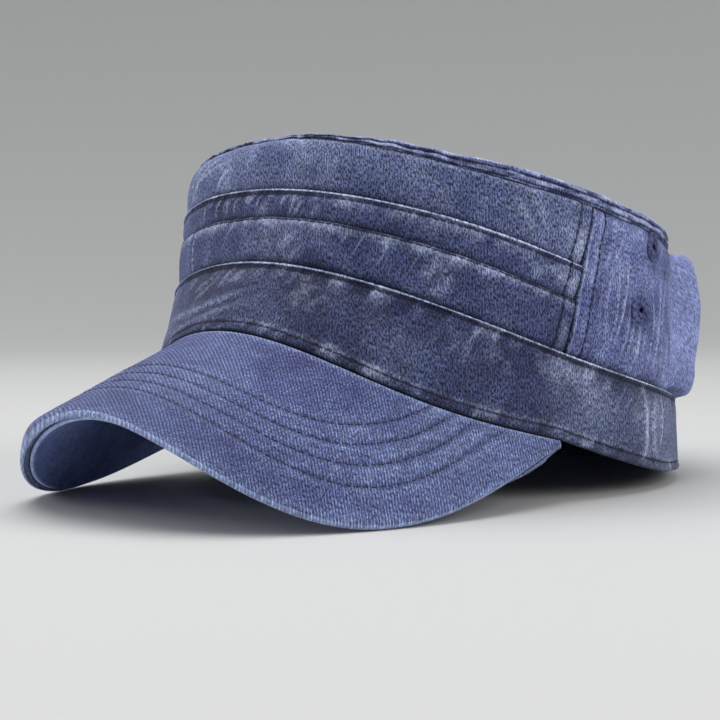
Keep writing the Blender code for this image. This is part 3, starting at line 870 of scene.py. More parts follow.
@dataclass
class StitchMaker:
    """Sews running stitches along paths with a Geometry Nodes tree."""

    pitch: float = 2.7 * MM
    length: float = 2.1 * MM
    radius: float = 0.24 * MM
    paths: list[tuple[Array, Array]] = field(default_factory=list)

    def along(self, points: Array, normals: Array) -> None:
        """Adds a path.

        Args:
            points: where the stitches run, where the cap lies.
            normals: the cloth's outward normal at each.
        """
        self.paths.append((points, normals))

    def tree(self) -> NodeTree:
        """Builds the tree: one small spindle for each stitch, laid flat on the cloth.

        Returns:
            The tree, whose inputs are named for the stitch's sizes.
        """
        tree = bpy.data.node_groups.new("running_stitch", "GeometryNodeTree")
        tree.interface.new_socket("Geometry", in_out="INPUT", socket_type="NodeSocketGeometry")
        for name in ("Pitch", "Length", "Radius"):
            tree.interface.new_socket(name, in_out="INPUT", socket_type="NodeSocketFloat")
        tree.interface.new_socket("Seed", in_out="INPUT", socket_type="NodeSocketInt")
        tree.interface.new_socket("Thread", in_out="INPUT", socket_type="NodeSocketMaterial")
        tree.interface.new_socket("Geometry", in_out="OUTPUT", socket_type="NodeSocketGeometry")
        add = functools.partial(add_node, tree)
        start = add("NodeGroupInput")
        curve = add("GeometryNodeMeshToCurve", (start["Geometry"],))[0]
        spots = add("GeometryNodeCurveToPoints", {"Curve": curve, "Length": start["Pitch"]}, mode="LENGTH")
        normal = add("GeometryNodeInputNamedAttribute", ("cloth_normal",), data_type="FLOAT_VECTOR")[0]
        upright = add("FunctionNodeAlignRotationToVector", {"Vector": normal}, axis="Z")[0]
        lie = {"Rotation": upright, "Vector": spots["Tangent"]}
        turned = add("FunctionNodeAlignRotationToVector", lie, axis="X", pivot_axis="Z")[0]
        spread = {0: (0.85, 0.85, 0.8), 1: (1.1, 1.2, 1.2), "Seed": start["Seed"]}
        uneven = add("FunctionNodeRandomValue", spread, data_type="FLOAT_VECTOR")[0]
        half = add(MATH, (start["Length"], 0.5), operation="MULTIPLY")[0]
        size = add("ShaderNodeCombineXYZ", (half, start["Radius"], start["Radius"]))[0]
        scale = add(VECTOR_MATH, (size, uneven), operation="MULTIPLY")[0]
        spindle = add("GeometryNodeMeshUVSphere", {"Segments": 6, "Rings": 5, "Radius": 1.0})[0]
        parts = {"Points": spots["Points"], "Instance": spindle, "Rotation": turned, "Scale": scale}
        sewn = add("GeometryNodeInstanceOnPoints", parts)[0]
        real = add("GeometryNodeRealizeInstances", (sewn,))[0]
        dressed = add("GeometryNodeSetMaterial", {"Geometry": real, "Material": start["Thread"]})[0]
        smooth = add("GeometryNodeSetShadeSmooth", (dressed,))[0]
        add("NodeGroupOutput", (smooth,))
        return tree

    def sew(self, name: str, tree: NodeTree, seed: int) -> Object:
        """Sews all the paths and leaves the stitches as one plain mesh.

        Args:
            name: the object's name.
            tree: the stitch tree.
            seed: fixes how uneven the stitches are.

        Returns:
            The stitches.
        """
        points = np.concatenate([path for path, _ in self.paths])
        normals = np.concatenate([normal for _, normal in self.paths])
        edges, first = [], 0
        for path, _ in self.paths:
            edges += [(first + i, first + i + 1) for i in range(len(path) - 1)]
            first += len(path)
        mesh = bpy.data.meshes.new(name)
        mesh.from_pydata(points.tolist(), edges, [])
        layer = mesh.attributes.new("cloth_normal", "FLOAT_VECTOR", "POINT")
        layer.data.foreach_set("vector", normals.astype(np.float32).reshape(-1))
        path = placed(name + "_path", mesh)
        modifier = path.modifiers.new("stitches", "NODES")
        modifier.node_group = tree
        values = {"Pitch": self.pitch, "Length": self.length, "Radius": self.radius, "Seed": seed}
        values["Thread"] = Thread.SEAM.material
        for item in tree.interface.items_tree:
            if item.in_out == "INPUT" and item.name in values:
                modifier[item.identifier] = values[item.name]
        bpy.context.view_layer.update()
        made = bpy.data.meshes.new_from_object(path.evaluated_get(bpy.context.evaluated_depsgraph_get()))
        made.name = name
        path.modifiers.clear()
        bpy.data.objects.remove(path, do_unlink=True)
        for left in [layer.name for layer in made.attributes if layer.name == "cloth_normal"]:
            made.attributes.remove(made.attributes[left])
        stitches = placed(name, made)
        return stitches


@dataclass
class Workshop:
    """What every sub-assembly is made with."""

    form: CapForm
    stitch_tree: NodeTree
    noise: Callable[[int], SmoothNoise]

    def solid(
        self,
        name: str,
        outer: ClothSheet,
        stations: Sequence[Station],
        material: Material,
        around: bool,
        shift: Array | float = 0.0,
    ) -> Object:
        """Closes a sheet with an inner face and makes it an object where the cap lies.

        Args:
            name: the object's name.
            outer: the sheet that shows.
            stations: the lines of its inner face, from its upper edge down to its lower one.
            material: the cloth.
            around: whether the sheet closes on itself round the crown.
            shift: how far the inner face's points are then moved, as X, Y, Z.

        Returns:
            The finished object.
        """
        angles = [outer.ends(station.height) for station in stations]
        inner = np.array([self.form.wall(a, s.height(a), s.stand) for a, s in zip(angles, stations)])
        inner += shift
        rows = np.concatenate([outer.points, inner])
        count = len(inner)
        wear_and_painted_light = np.concatenate([outer.wear_and_painted_light, np.zeros(inner.shape[:2])])
        # The inner face is darkened: painted shade inside the cap
        dark = np.concatenate([outer.dark, np.full(inner.shape[:2], 0.35)])
        along = np.concatenate([outer.along, np.repeat(outer.along[-1:], count, axis=0)])
        steps = np.diff(np.concatenate([outer.points[-1:], inner]), axis=0)
        down = np.cumsum(np.linalg.norm(steps, axis=-1), axis=0)
        across = np.concatenate([outer.across, outer.across[-1:] + down])
        return self.loft(name, rows, wear_and_painted_light, dark, along, across, material, around)

    def loft(
        self,
        name: str,
        rows: Array,
        wear_and_painted_light: Array,
        dark: Array,
        along: Array,
        across: Array,
        material: Material,
        around: bool,
    ) -> Object:
        """Skins a closed loop of rows.

        Args:
            name: the object's name.
            rows: rows by columns of points in the upright frame; the last row joins the first.
            wear_and_painted_light: how pale each point is, from worn cloth and from painted light.
            dark: how dark each point is, from dye and from painted shade.
            along: lengths along the cloth, for its UV map.
            across: lengths across it.
            material: the cloth.
            around: whether the last column joins the first.

        Returns:
            The finished object.
        """
        count, columns = rows.shape[:2]
        points = self.form.as_it_lies(rows).reshape(-1, 3)
        ends = columns if around else columns - 1
        quads = ring_quads(count, columns, ends)
        wide, tall = np.broadcast_to(along, (count, columns)), np.broadcast_to(across, (count, columns))
        step = np.roll(wide, -1, axis=1)
        if around and np.ptp(wide[0]) > 0.9 * self.form.girth:
            step = np.concatenate([step[:, :-1], wide[:, -1:] * 2 - wide[:, -2:-1]], axis=1)
        lap = np.concatenate([tall[1:], tall[-1:] + 0.001])
        lap_wide, lap_step = np.concatenate([wide[1:], wide[-1:]]), np.concatenate([step[1:], step[-1:]])
        corners_u = np.stack([wide, step, lap_step, lap_wide], -1)[:, :ends].reshape(-1)
        corners_v = np.stack([tall, np.roll(tall, -1, axis=1), np.roll(lap, -1, axis=1), lap], -1)
        corners_v = corners_v[:, :ends].reshape(-1)
        faces = [tuple(face) for face in quads.tolist()]
        if not around:
            start = range(0, count * columns, columns)
            faces += [tuple(start), tuple(i + columns - 1 for i in reversed(start))]
            corners_u = np.concatenate([corners_u, wide[:, 0], wide[::-1, -1]])
            corners_v = np.concatenate([corners_v, tall[:, 0], tall[::-1, -1]])
        mesh = bpy.data.meshes.new(name)
        mesh.from_pydata(points.tolist(), [], faces)
        uv = mesh.uv_layers.new(name="cloth")
        uv.data.foreach_set("uv", np.stack([corners_u, corners_v], -1).astype(np.float32).reshape(-1))
        for mark, values in (("wear_and_painted_light", wear_and_painted_light), ("dark", dark)):
            layer = mesh.attributes.new(mark, "FLOAT", "POINT")
            layer.data.foreach_set("value", values.astype(np.float32).reshape(-1))
        if turned_in(points, quads):
            mesh.flip_normals()
        mesh.materials.append(material)
        mesh.shade_smooth()
        piece = placed(name, mesh)
        return piece

    def finish(self, piece: Object, slot: str, *nodes: str) -> Object:
        """Rides a piece on the cap, hides the solids that it stands for, and reports it.

        Args:
            piece: the object.
            slot: not used.
            nodes: the solids that it replaces.

        Returns:
            The piece.
        """
        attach(piece, BODY)
        if nodes:
            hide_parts(*nodes)
        LOG.info("%s: %d faces", piece.name, len(piece.data.polygons))
        return piece

    def sew_rows(self, name: str, rows: Sequence[tuple[Array, Array]], **sizes: float) -> None:
        """Sews stitches along rows of points in the upright frame.

        Args:
            name: the object's name.
            rows: the points and normals of each row.
            sizes: fields of StitchMaker that differ from its own.
        """
        maker = StitchMaker(**sizes)
        for points, normals in rows:
            here = self.form.as_it_lies(points + normals * (0.35 * maker.radius))
            ahead = self.form.as_it_lies(points + normals * (0.35 * maker.radius + 0.001))
            out = ahead - here
            maker.along(here, out / np.maximum(np.linalg.norm(out, axis=-1, keepdims=True), 1e-9))
        self.finish(maker.sew(name, self.stitch_tree, len(name)), "thread")

    def sheet_rows(self, sheet: ClothSheet, around: bool) -> list[tuple[Array, Array]]:
        """The stitched rows of a sheet.

        Args:
            sheet: the sheet.
            around: whether each row closes on itself.

        Returns:
            The points and normals of each row.
        """
        normals = sheet.normals()
        rows = []
        for row in sheet.stitch_rows:
            points, out = sheet.points[row], normals[row]
            if around:
                points, out = np.concatenate([points, points[:1]]), np.concatenate([out, out[:1]])
            rows.append((points, out))
        return rows


@dataclass
class Band:
    """The closed band: a rolled, stitched foot over the peak's seam and a folded, stitched top edge."""

    shop: Workshop
    columns: int = 900
    creases: tuple[Crease, ...] = (
        Crease(3.0, 0.57, -24.0, 0.46, 1.3, 0.5), Crease(-24.0, 0.46, -38.0, 0.30, 1.3, 0.5),
        Crease(13.5, 0.74, 16.0, 0.60, 1.3, 0.17), Crease(16.0, 0.60, 20.0, 0.78, 1.3, 0.15),
        Crease(-8.0, 0.86, -14.0, 0.66, 1.0, 0.35), Crease(99.0, 0.10, 98.0, 0.88, 1.2, -0.3),
        Crease(103.5, 0.05, 102.0, 0.80, 1.4, 0.4), Crease(106.5, 0.30, 107.5, 0.92, 0.9, -0.3),
    )

    def outer(self) -> list[Station]:
        """The band's lines from its hem to its folded top edge."""
        form = self.shop.form
        foot, top = form.band_foot, form.band_top
        # Rows: rise and stand in millimetres, pale and dark marks, and whether stitched; the dark marks are
        # painted shade, deepest in the hem's crevice over the peak, in the stitch grooves and on the fold's
        # turned-under return
        lower_rows = (
            (0.05, -1.2, 0.0, 0.9), (0.25, -0.35, 0.0, 0.5), (0.8, 0.25, 0.0, 0.2), (1.8, 0.42, 0.0, 0.15),
            (2.7, 0.20, 0.0, 0.2), (3.2, -0.10, 0.0, 0.5, True), (3.75, 0.10, 0.15, 0.05), (5.0, 0.10),
        )
        upper_rows = (
            (-4.4, 0.10), (-2.5, 0.0), (-1.75, -0.22, 0.0, 0.65, True), (-1.2, -0.08, 0.0, 0.6),
            (-0.78, 0.18, 0.0, 0.35), (-0.5, 0.36, 1.0, 0.0), (-0.14, 0.14, 1.0, 0.0),
            (0.0, -0.4, 0.2, 0.4), (-0.4, -1.2, 0.0, 0.9),
        )
        flat = [Station(midway(foot, 5 * MM, top, -4.4 * MM, part), 0.0, 0.15 * MM) for part in (0.33, 0.66)]
        # Painted shade in the crevice over the peak
        hem = Station(form.hem, 0.0, -1.5 * MM, 0.0, 0.9)
        return [hem, *on_line(foot, *lower_rows), *flat, *on_line(top, *upper_rows)]

    def build(self) -> None:
        """Makes the band and its stitches."""
        form = self.shop.form
        angle = np.linspace(-pi, pi, self.columns, endpoint=False)
        sheet = ClothSheet(form, self.outer(), lambda _: angle, 1.1 * MM)
        sheet.slacken(self.shop.noise(11), 0.35 * MM)
        sheet.crease(self.creases)
        sheet.cloud(self.shop.noise(13), 16 * MM, 0.30, 0.30, 13 * MM)
        sheet.cloud(self.shop.noise(14), 30 * MM, 0.12, 0.30)
        away = np.abs(sheet.angle)
        # Paler round the back and darker at the front middle: painted light and painted shade, for how the
        # light falls round the cap
        sheet.mark(0.14 * fade_deg(away, 88, 108), 0.16 * fade_deg(-away, -42, -12))
        sheet.fray(self.shop.noise(15), 2.8 * MM)
        sheet.pucker(self.shop.noise(12), 0.20 * MM, 3.6 * MM)
        inner = [Station(form.band_top, -1.4 * MM, -1.8 * MM)]
        for part in (0.75, 0.5, 0.25):
            inner.append(Station(midway(form.hem, 0, form.band_top, 0, part), 0.0, -form.band_wall))
        inner.append(Station(form.hem, 0.5 * MM, -form.band_wall))
        piece = self.shop.solid("band_cloth", sheet, inner, Cloth.BAND.material, True)
        self.shop.finish(piece, "washed_twill", "band")
        self.shop.sew_rows("band_stitches", self.shop.sheet_rows(sheet, True))


@dataclass
class FrontStrips:
    """The front panel's three strips, each lower one folded and lapped over the next."""

    shop: Workshop
    columns: int = 640
    creases: dict[str, tuple[Crease, ...]] = field(
        default_factory=lambda: {
            "front_lower": (
                Crease(-22.0, 0.92, -23.0, 0.20, 0.9, -0.35), Crease(12.0, 0.60, 8.0, 0.35, 1.6, 0.3),
                Crease(44.0, 0.75, 40.0, 0.40, 1.8, 0.3),
            ),
            "front_middle": (
                Crease(-12.5, 0.85, -15.5, 0.35, 0.7, -0.3), Crease(-10.5, 0.80, -12.5, 0.40, 0.6, -0.25),
                Crease(-6.0, 0.80, -8.5, 0.40, 0.7, -0.3), Crease(1.5, 0.85, -1.0, 0.45, 0.7, -0.3),
                Crease(-18.0, 0.85, -21.0, 0.35, 0.7, -0.3), Crease(9.0, 0.80, 6.0, 0.50, 0.8, -0.25),
            ),
            "front_upper": (
                Crease(-14.0, 0.62, -32.0, 0.22, 0.7, -0.35), Crease(-24.0, 0.80, -19.0, 0.46, 0.6, -0.3),
                Crease(-18.5, 0.74, -27.0, 0.40, 0.7, -0.35), Crease(-27.0, 0.78, -31.0, 0.36, 0.7, -0.3),
                Crease(-12.0, 0.52, -17.0, 0.26, 0.6, -0.3), Crease(60.0, 0.75, 64.0, 0.40, 1.6, 0.3),
            ),
        }
    )

    def ends(self, line: Line) -> Array:
        """The angles of a row's points between the two front seams."""
        end = self.shop.form.seam_angle(self.shop.form.front_seam_deg, line) - SEAM_GAP
        return np.linspace(-end, end, self.columns)

    def strip(
        self, name: str, low: Line, high: Line, tucked: float, fold: Sequence[Station], seed: int
    ) -> None:
        """Makes a strip whose upper edge is a stitched fold.

        Args:
            name: the name of the solid that it replaces.
            low: the fold of the piece below it.
            high: its own fold.
            tucked: how far in it lies behind the piece below.
            fold: the stations of its fold.
            seed: fixes its puckers.
        """
        middle = Station(midway(low, 2.2 * MM, high, -3.6 * MM, 0.5), 0.0, 0.2 * tucked)
        stations = [*tucked_foot(low, tucked), middle, Station(high, -3.6 * MM, 0.10 * MM), *fold]
        sheet = ClothSheet(self.shop.form, stations, self.ends, 1.0 * MM)
        sheet.slacken(self.shop.noise(seed), 0.30 * MM)
        sheet.crease(self.creases[name])
        sheet.cloud(self.shop.noise(seed + 2), 14 * MM, 0.20, 0.40)
        # Darker towards the front middle: painted shade, for the front turned away from the light
        sheet.mark(0, 0.10 * fade_deg(-np.abs(sheet.angle), -42, -12))
        sheet.fray(self.shop.noise(seed + 3), 2.8 * MM)
        sheet.pucker(self.shop.noise(seed + 1), 0.18 * MM, 3.2 * MM)
        self.seam_end(sheet)
        inner = on_line(high, (-1.2, -1.1), (-3.0, -1.1))
        inner += [Station(low, rise * MM, tucked - 0.9 * MM) for rise in (2.5, -2.9)]
        piece = self.shop.solid(name + "_cloth", sheet, inner, Cloth.CROWN.material, False)
        self.shop.finish(piece, "washed_twill", name)
        self.shop.sew_rows(name + "_stitches", self.shop.sheet_rows(sheet, False) + self.seam_rows(sheet))

    @staticmethod
    def from_seam(sheet: ClothSheet) -> Array:
        """How far each point lies from the nearer front seam."""
        return np.minimum(np.abs(sheet.along - sheet.along[:, :1]), np.abs(sheet.along - sheet.along[:, -1:]))

    def seam_end(self, sheet: ClothSheet) -> None:
        """Rolls the sheet's two ends into the side seams and presses the row of stitches ahead of them, with
        painted shade in the seams and in the stitch groove.
        """
        run = self.from_seam(sheet)
        noise = self.shop.noise(27)
        roll = 0.18 * MM * hill(run - 0.9 * MM, 0.6 * MM) - 0.7 * MM * hill(run, 0.45 * MM)
        groove = hill(run - 4.9 * MM, 0.6 * MM)
        wrinkle = hill(run - 2.8 * MM, 1.6 * MM) * noise(0 * run + 0.01, sheet.across, 5 * MM, 1.9 * MM)
        sheet.move_out(roll - 0.22 * MM * groove + 0.18 * MM * wrinkle)
        # Paler on the wrinkles' crests; painted shade in the stitch groove and in the seam
        sheet.mark(0.25 * np.clip(wrinkle, 0, 1), 0.6 * groove + 0.8 * hill(run, 0.7 * MM))

    def seam_rows(self, sheet: ClothSheet) -> list[tuple[Array, Array]]:
        """The rows of stitches up the strip, one ahead of each side seam."""
        run, normals, middle = self.from_seam(sheet), sheet.normals(), sheet.points.shape[1] // 2
        index = np.arange(sheet.station_rows[2], sheet.station_rows[-3])
        rows = []
        for part in (slice(0, middle), slice(middle, None)):
            column = np.abs(run[index, part] - 4.9 * MM).argmin(axis=1) + (part.start or 0)
            rows.append((sheet.points[index, column], normals[index, column]))
        return rows

    def build(self) -> None:
        """Makes the three strips, and the stitches ahead of the side seams."""
        form = self.shop.form
        under_band = -form.band_wall - form.gap
        under_cloth = -form.cloth_wall - form.gap
        # The dark marks of the folds are painted shade: in the stitch groove, at the fold's edge and on its
        # turned-under return
        soft = (
            (-2.2, 0.10, 0.14, 0.0), (-1.1, 0.05, 0.28, 0.0), (-0.6, -0.18, 0.1, 0.5, True),
            (-0.2, -0.28, 0.1, 0.4), (0.0, -0.6, 0.0, 0.8), (-0.35, -1.0, 0.0, 0.9),
        )
        roped = (
            (-2.4, 0.05), (-1.7, -0.18, 0.0, 0.65, True), (-1.15, -0.08, 0.0, 0.55),
            (-0.78, 0.18, 0.0, 0.35), (-0.5, 0.32, 1.0, 0.0), (-0.14, 0.14, 1.0, 0.0),
            (0.0, -0.4, 0.2, 0.4), (-0.35, -0.9, 0.0, 0.9),
        )
        lower, upper = form.lower_tuck, form.upper_tuck
        self.strip("front_lower", form.band_top, lower, under_band, on_line(lower, *soft), 21)
        self.strip("front_middle", lower, upper, under_cloth, on_line(upper, *roped), 31)
        self.upper(upper, form.welt_foot, under_cloth)

    def upper(self, low: Line, high: Line, tucked: float) -> None:
        """Makes the top strip, from behind the middle strip's fold up under the welt.

        Args:
            low: the fold of the strip below it.
            high: the welt's foot.
            tucked: how far in it lies behind the strip below.
        """
        # Near the welt the dark marks are painted shade, where the strip runs in under it
        rows = ((-4.5, 0.25), (-2.6, 0.20), (-1.3, 0.0, 0.1), (-0.5, -0.35, 0.22), (0.0, -0.9, 0.15, 0.3))
        middle = Station(midway(low, 2.2 * MM, high, -4.5 * MM, 0.5), 0.0, 0.15 * MM)
        outer = [*tucked_foot(low, tucked), middle]
        outer += on_line(high, *rows, (0.15, -1.7, 0.0, 0.9))
        outer = self.rounded(outer, (0, 0, 0, 0, 0.1, 0.6, 1.3, 2.1, 2.7, 3.2, 3.4))
        sheet = ClothSheet(self.shop.form, outer, self.ends, 1.0 * MM)
        sheet.slacken(self.shop.noise(41), 0.40 * MM)
        sheet.crease(self.creases["front_upper"])
        sheet.cloud(self.shop.noise(43), 20 * MM, 0.26, 0.22)
        self.seam_end(sheet)
        inner = on_line(high, (-0.6, -2.7), (-2.4, -1.6), (-4.5, -1.2))
        inner += [Station(low, rise * MM, tucked - 0.9 * MM) for rise in (2.5, -2.9)]
        inner = self.rounded(inner, (3.4, 2.1, 1.0, 0.0, 0.0))
        piece = self.shop.solid("front_upper_cloth", sheet, inner, Cloth.UPPER.material, False)
        self.shop.finish(piece, "washed_twill", "front_upper")
        self.shop.sew_rows("front_upper_stitches", self.seam_rows(sheet), radius=0.32 * MM)

    def rounded(self, stations: Sequence[Station], insets: Sequence[float]) -> list[Station]:
        """Draws stations in where the crown's edge is worn round.

        Args:
            stations: the stations.
            insets: how far in the most worn part of each goes, in millimetres.

        Returns:
            The stations as they then stand.
        """
        form = self.shop.form
        made = []
        for station, inset in zip(stations, insets):
            worn = form.softness(self.ends(station.height))
            made.append(replace(station, stand=station.stand - inset * MM * worn))
        return made


@dataclass
class Eyelet:
    """Where an embroidered eyelet lies on a side panel: angle in degrees and share of the panel's height."""

    name: str
    angle: float
    share: float


@dataclass
class SidePanels:
    """The two side panels with their soft creases and embroidered eyelets."""

    shop: Workshop
    columns: int = 180
    bore_radius: float = 0.8 * MM
    rim_radius: float = 5.0 * MM
    cut_radius: float = 3.2 * MM
    eyelets: tuple[Eyelet, ...] = (Eyelet("upper", 101.1, 0.81), Eyelet("lower", 96.1, 0.41))
    creases: tuple[Crease, ...] = (
        Crease(83.0, 0.18, 88.0, 0.85, 1.0, 0.25), Crease(84.5, 0.16, 88.0, 0.60, 0.6, -0.20),
        Crease(86.6, 0.20, 91.0, 0.74, 0.6, -0.32), Crease(88.8, 0.14, 92.0, 0.52, 0.7, -0.22),
        Crease(91.0, 0.16, 94.0, 0.56, 0.6, -0.26), Crease(93.6, 0.12, 95.6, 0.40, 0.8, -0.25),
        Crease(96.5, 0.16, 97.5, 0.34, 0.8, 0.25), Crease(99.5, 0.14, 102.0, 0.62, 0.7, -0.28),
        Crease(102.5, 0.14, 106.5, 0.76, 0.8, -0.25), Crease(106.0, 0.14, 112.0, 0.84, 1.1, 0.45),
        Crease(109.0, 0.14, 116.0, 0.86, 0.8, -0.35),
    )

    def panel(self, side: int) -> None:
        """Makes one side panel.

        Args:
            side: 1 for the wearer's left, -1 for the right.
        """
        form = self.shop.form
        word = "left" if side > 0 else "right"
        low, high = form.band_top, form.welt_foot
        tucked = -form.band_wall - form.gap

        levels = [midway(low, 2.5 * MM, high, -1.5 * MM, part) for part in (0.25, 0.5, 0.75)]
        # The dark marks at the foot and near the top are painted shade, under the band's fold and under the
        # welt
        stations = [
            Station(low, -3.0 * MM, tucked, 0.0, 0.9),
            Station(low, 0.1 * MM, tucked + 0.05 * MM, 0.0, 0.85),
            Station(low, 1.0 * MM, 0.7 * tucked, 0.0, 0.4),
            Station(low, 2.5 * MM, 0.45 * tucked, 0.0, 0.1),
            *[Station(line) for line in levels],
            *on_line(high, (-1.5, -0.15), (-0.4, -0.8, 0.0, 0.3)),
            *on_line(high, (0.4, -1.7, 0.0, 0.8), (2.6, -1.75, 0.0, 0.8)),
        ]
        sheet = ClothSheet(form, stations, functools.partial(self.ends, side=side), 1.0 * MM)
        sheet.slacken(self.shop.noise(51 + side), 0.4 * MM)
        sheet.crease([replace(c, angle=side * c.angle, angle_end=side * c.angle_end) for c in self.creases])
        sheet.cloud(self.shop.noise(55 + side), 8 * MM, 0.32, 0.50)
        self.seam_end(sheet, side)
        eyelet_spots = [self.shade_round_eyelet(sheet, eyelet, side) for eyelet in self.eyelets]
        inner = on_line(high, (2.6, -2.7), (0.3, -2.7), (-1.8, -1.2))
        inner += [Station(line, 0.0, -form.cloth_wall) for line in reversed(levels)]
        inner += [Station(low, 2.5 * MM, tucked - 0.6 * MM), Station(low, -2.9 * MM, tucked - 0.9 * MM)]
        # Between its two edges the inner face lies deeper, clear of the creases
        shift = np.zeros((len(inner), *sheet.points.shape[1:]))
        shift[2:-1] = -form.plan_normal(sheet.angle[0]) * 0.6 * MM
        piece = self.shop.solid(f"side_{word}_cloth", sheet, inner, Cloth.SIDE.material, False, shift)
        for spot, out in eyelet_spots:
            self.cut(piece, spot, out)
        self.shop.finish(piece, "washed_twill", f"side_panel_{word}")
        self.shop.sew_rows(f"side_{word}_stitches", self.seam_rows(sheet, side), radius=0.32 * MM)
        for eyelet, (spot, out) in zip(self.eyelets, eyelet_spots):
            self.embroider(eyelet, word, spot, out)

    def ends(self, line: Line, side: int) -> Array:
        """The angles of a row's points between the two seams, always turning to the wearer's left.

        Args:
            line: where the row runs.
            side: 1 for the wearer's left, -1 for the right.

        Returns:
            The angles.
        """
        form = self.shop.form
        front = form.seam_angle(form.front_seam_deg, line) + SEAM_GAP
        rear = form.seam_angle(form.rear_seam_deg, line) - SEAM_GAP
        angles = np.linspace(front, rear, self.columns)
        return angles if side > 0 else -angles[::-1]

    def from_front_seam(self, sheet: ClothSheet, side: int) -> Array:
        """How far each point lies behind the front seam."""
        return np.abs(sheet.along - (sheet.along[:, :1] if side > 0 else sheet.along[:, -1:]))

    def seam_end(self, sheet: ClothSheet, side: int) -> None:
        """Rolls the panel's front end into the seam and presses the row of stitches behind it, with painted
        shade in the seam and in the stitch groove, and two darker, less worn strips beside them.
        """
        run = self.from_front_seam(sheet, side)
        uneven = 0.7 + 0.5 * self.shop.noise(58)(0 * run + 0.01, sheet.across, 5 * MM, 3 * MM)
        ridge = hill(run - 0.95 * MM, 0.5 * MM) * uneven
        roll = 0.28 * MM * ridge - 0.9 * MM * hill(run, 0.4 * MM)
        groove = hill(run - 6.2 * MM, 0.6 * MM)
        strip = hill(run - 8.6 * MM, 1.5 * MM) + 0.6 * hill(run - 2.6 * MM, 0.9 * MM)
        sheet.move_out(roll - 0.22 * MM * groove)
        sheet.wear_and_painted_light = np.clip((sheet.wear_and_painted_light + 0.5 * ridge) * (1 - 0.6 * np.minimum(strip, 1)), 0, 1)
        # Painted shade in the stitch groove and in the seam; the two strips are darker and less worn
        sheet.mark(0, 0.5 * groove + 0.35 * strip + 0.9 * hill(run, 0.6 * MM))

    def seam_rows(self, sheet: ClothSheet, side: int) -> list[tuple[Array, Array]]:
        """The rows of stitches up the panel beside its front seam."""
        run, normals = self.from_front_seam(sheet, side), sheet.normals()
        index = np.arange(sheet.station_rows[2], sheet.station_rows[-3])
        column = np.abs(run - 6.2 * MM).argmin(axis=1)[index]
        return [(sheet.points[index, column], normals[index, column])]

    def shade_round_eyelet(self, sheet: ClothSheet, eyelet: Eyelet, side: int) -> tuple[Vector, Vector]:
        """Paints a ring of shade round an eyelet, where the cloth would dip, and finds where the eyelet sits.

        Args:
            sheet: the panel's sheet.
            eyelet: which eyelet.
            side: 1 for the wearer's left, -1 for the right.

        Returns:
            The eyelet's middle and the outward direction there, where the cap lies.
        """
        form = self.shop.form
        angle = np.array(side * radians(eyelet.angle))
        height = form.band_top(angle) + (form.top_edge(angle) - form.band_top(angle)) * eyelet.share
        middle = form.wall(angle, height)
        away = np.linalg.norm(sheet.points - middle, axis=-1)
        ring = hill(away - 6.0 * MM, 1.3 * MM)
        # A ring of painted shade round the eyelet, in place of a dent
        sheet.mark(0, 0.25 * ring)
        row, column = np.unravel_index(away.argmin(), away.shape)
        patch = slice(max(row - 3, 0), row + 4), slice(max(column - 4, 0), column + 5)
        near, out = (grid[patch].reshape(-1, 3).mean(axis=0) for grid in (sheet.points, sheet.normals()))
        spot = form.as_it_lies(near)
        ahead = form.as_it_lies(near + out / np.linalg.norm(out))
        return Vector(spot), Vector(ahead - spot).normalized()

    def cut(self, piece: Object, spot: Vector, out: Vector) -> None:
        """Cuts an eyelet's hole through a panel.

        Args:
            piece: the panel.
            spot: the hole's middle.
            out: its axis.
        """
        turn = Matrix.Translation(spot) @ out.to_track_quat("Z", "Y").to_matrix().to_4x4()
        angles = np.linspace(0, 2 * pi, 32, endpoint=False)
        spots = [(self.cut_radius * math.cos(a), self.cut_radius * math.sin(a)) for a in angles]
        ends = [turn @ Vector((*flat, height)) for height in (-6 * MM, 6 * MM) for flat in spots]
        faces = [(i, (i + 1) % 32, (i + 1) % 32 + 32, i + 32) for i in range(32)]
        faces += [tuple(range(31, -1, -1)), tuple(range(32, 64))]
        mesh = bpy.data.meshes.new("eyelet_hole")
        mesh.from_pydata([tuple(end) for end in ends], [], faces)
        cutter = placed("eyelet_hole", mesh)
        modifier = piece.modifiers.new("eyelet_hole", "BOOLEAN")
        modifier.operation = "DIFFERENCE"
        modifier.object = cutter
        bpy.context.view_layer.update()
        made = bpy.data.meshes.new_from_object(piece.evaluated_get(bpy.context.evaluated_depsgraph_get()))
        piece.modifiers.clear()
        old, piece.data = piece.data, made
        bpy.data.meshes.remove(old)
        bpy.data.objects.remove(cutter, do_unlink=True)
        bpy.data.meshes.remove(mesh)

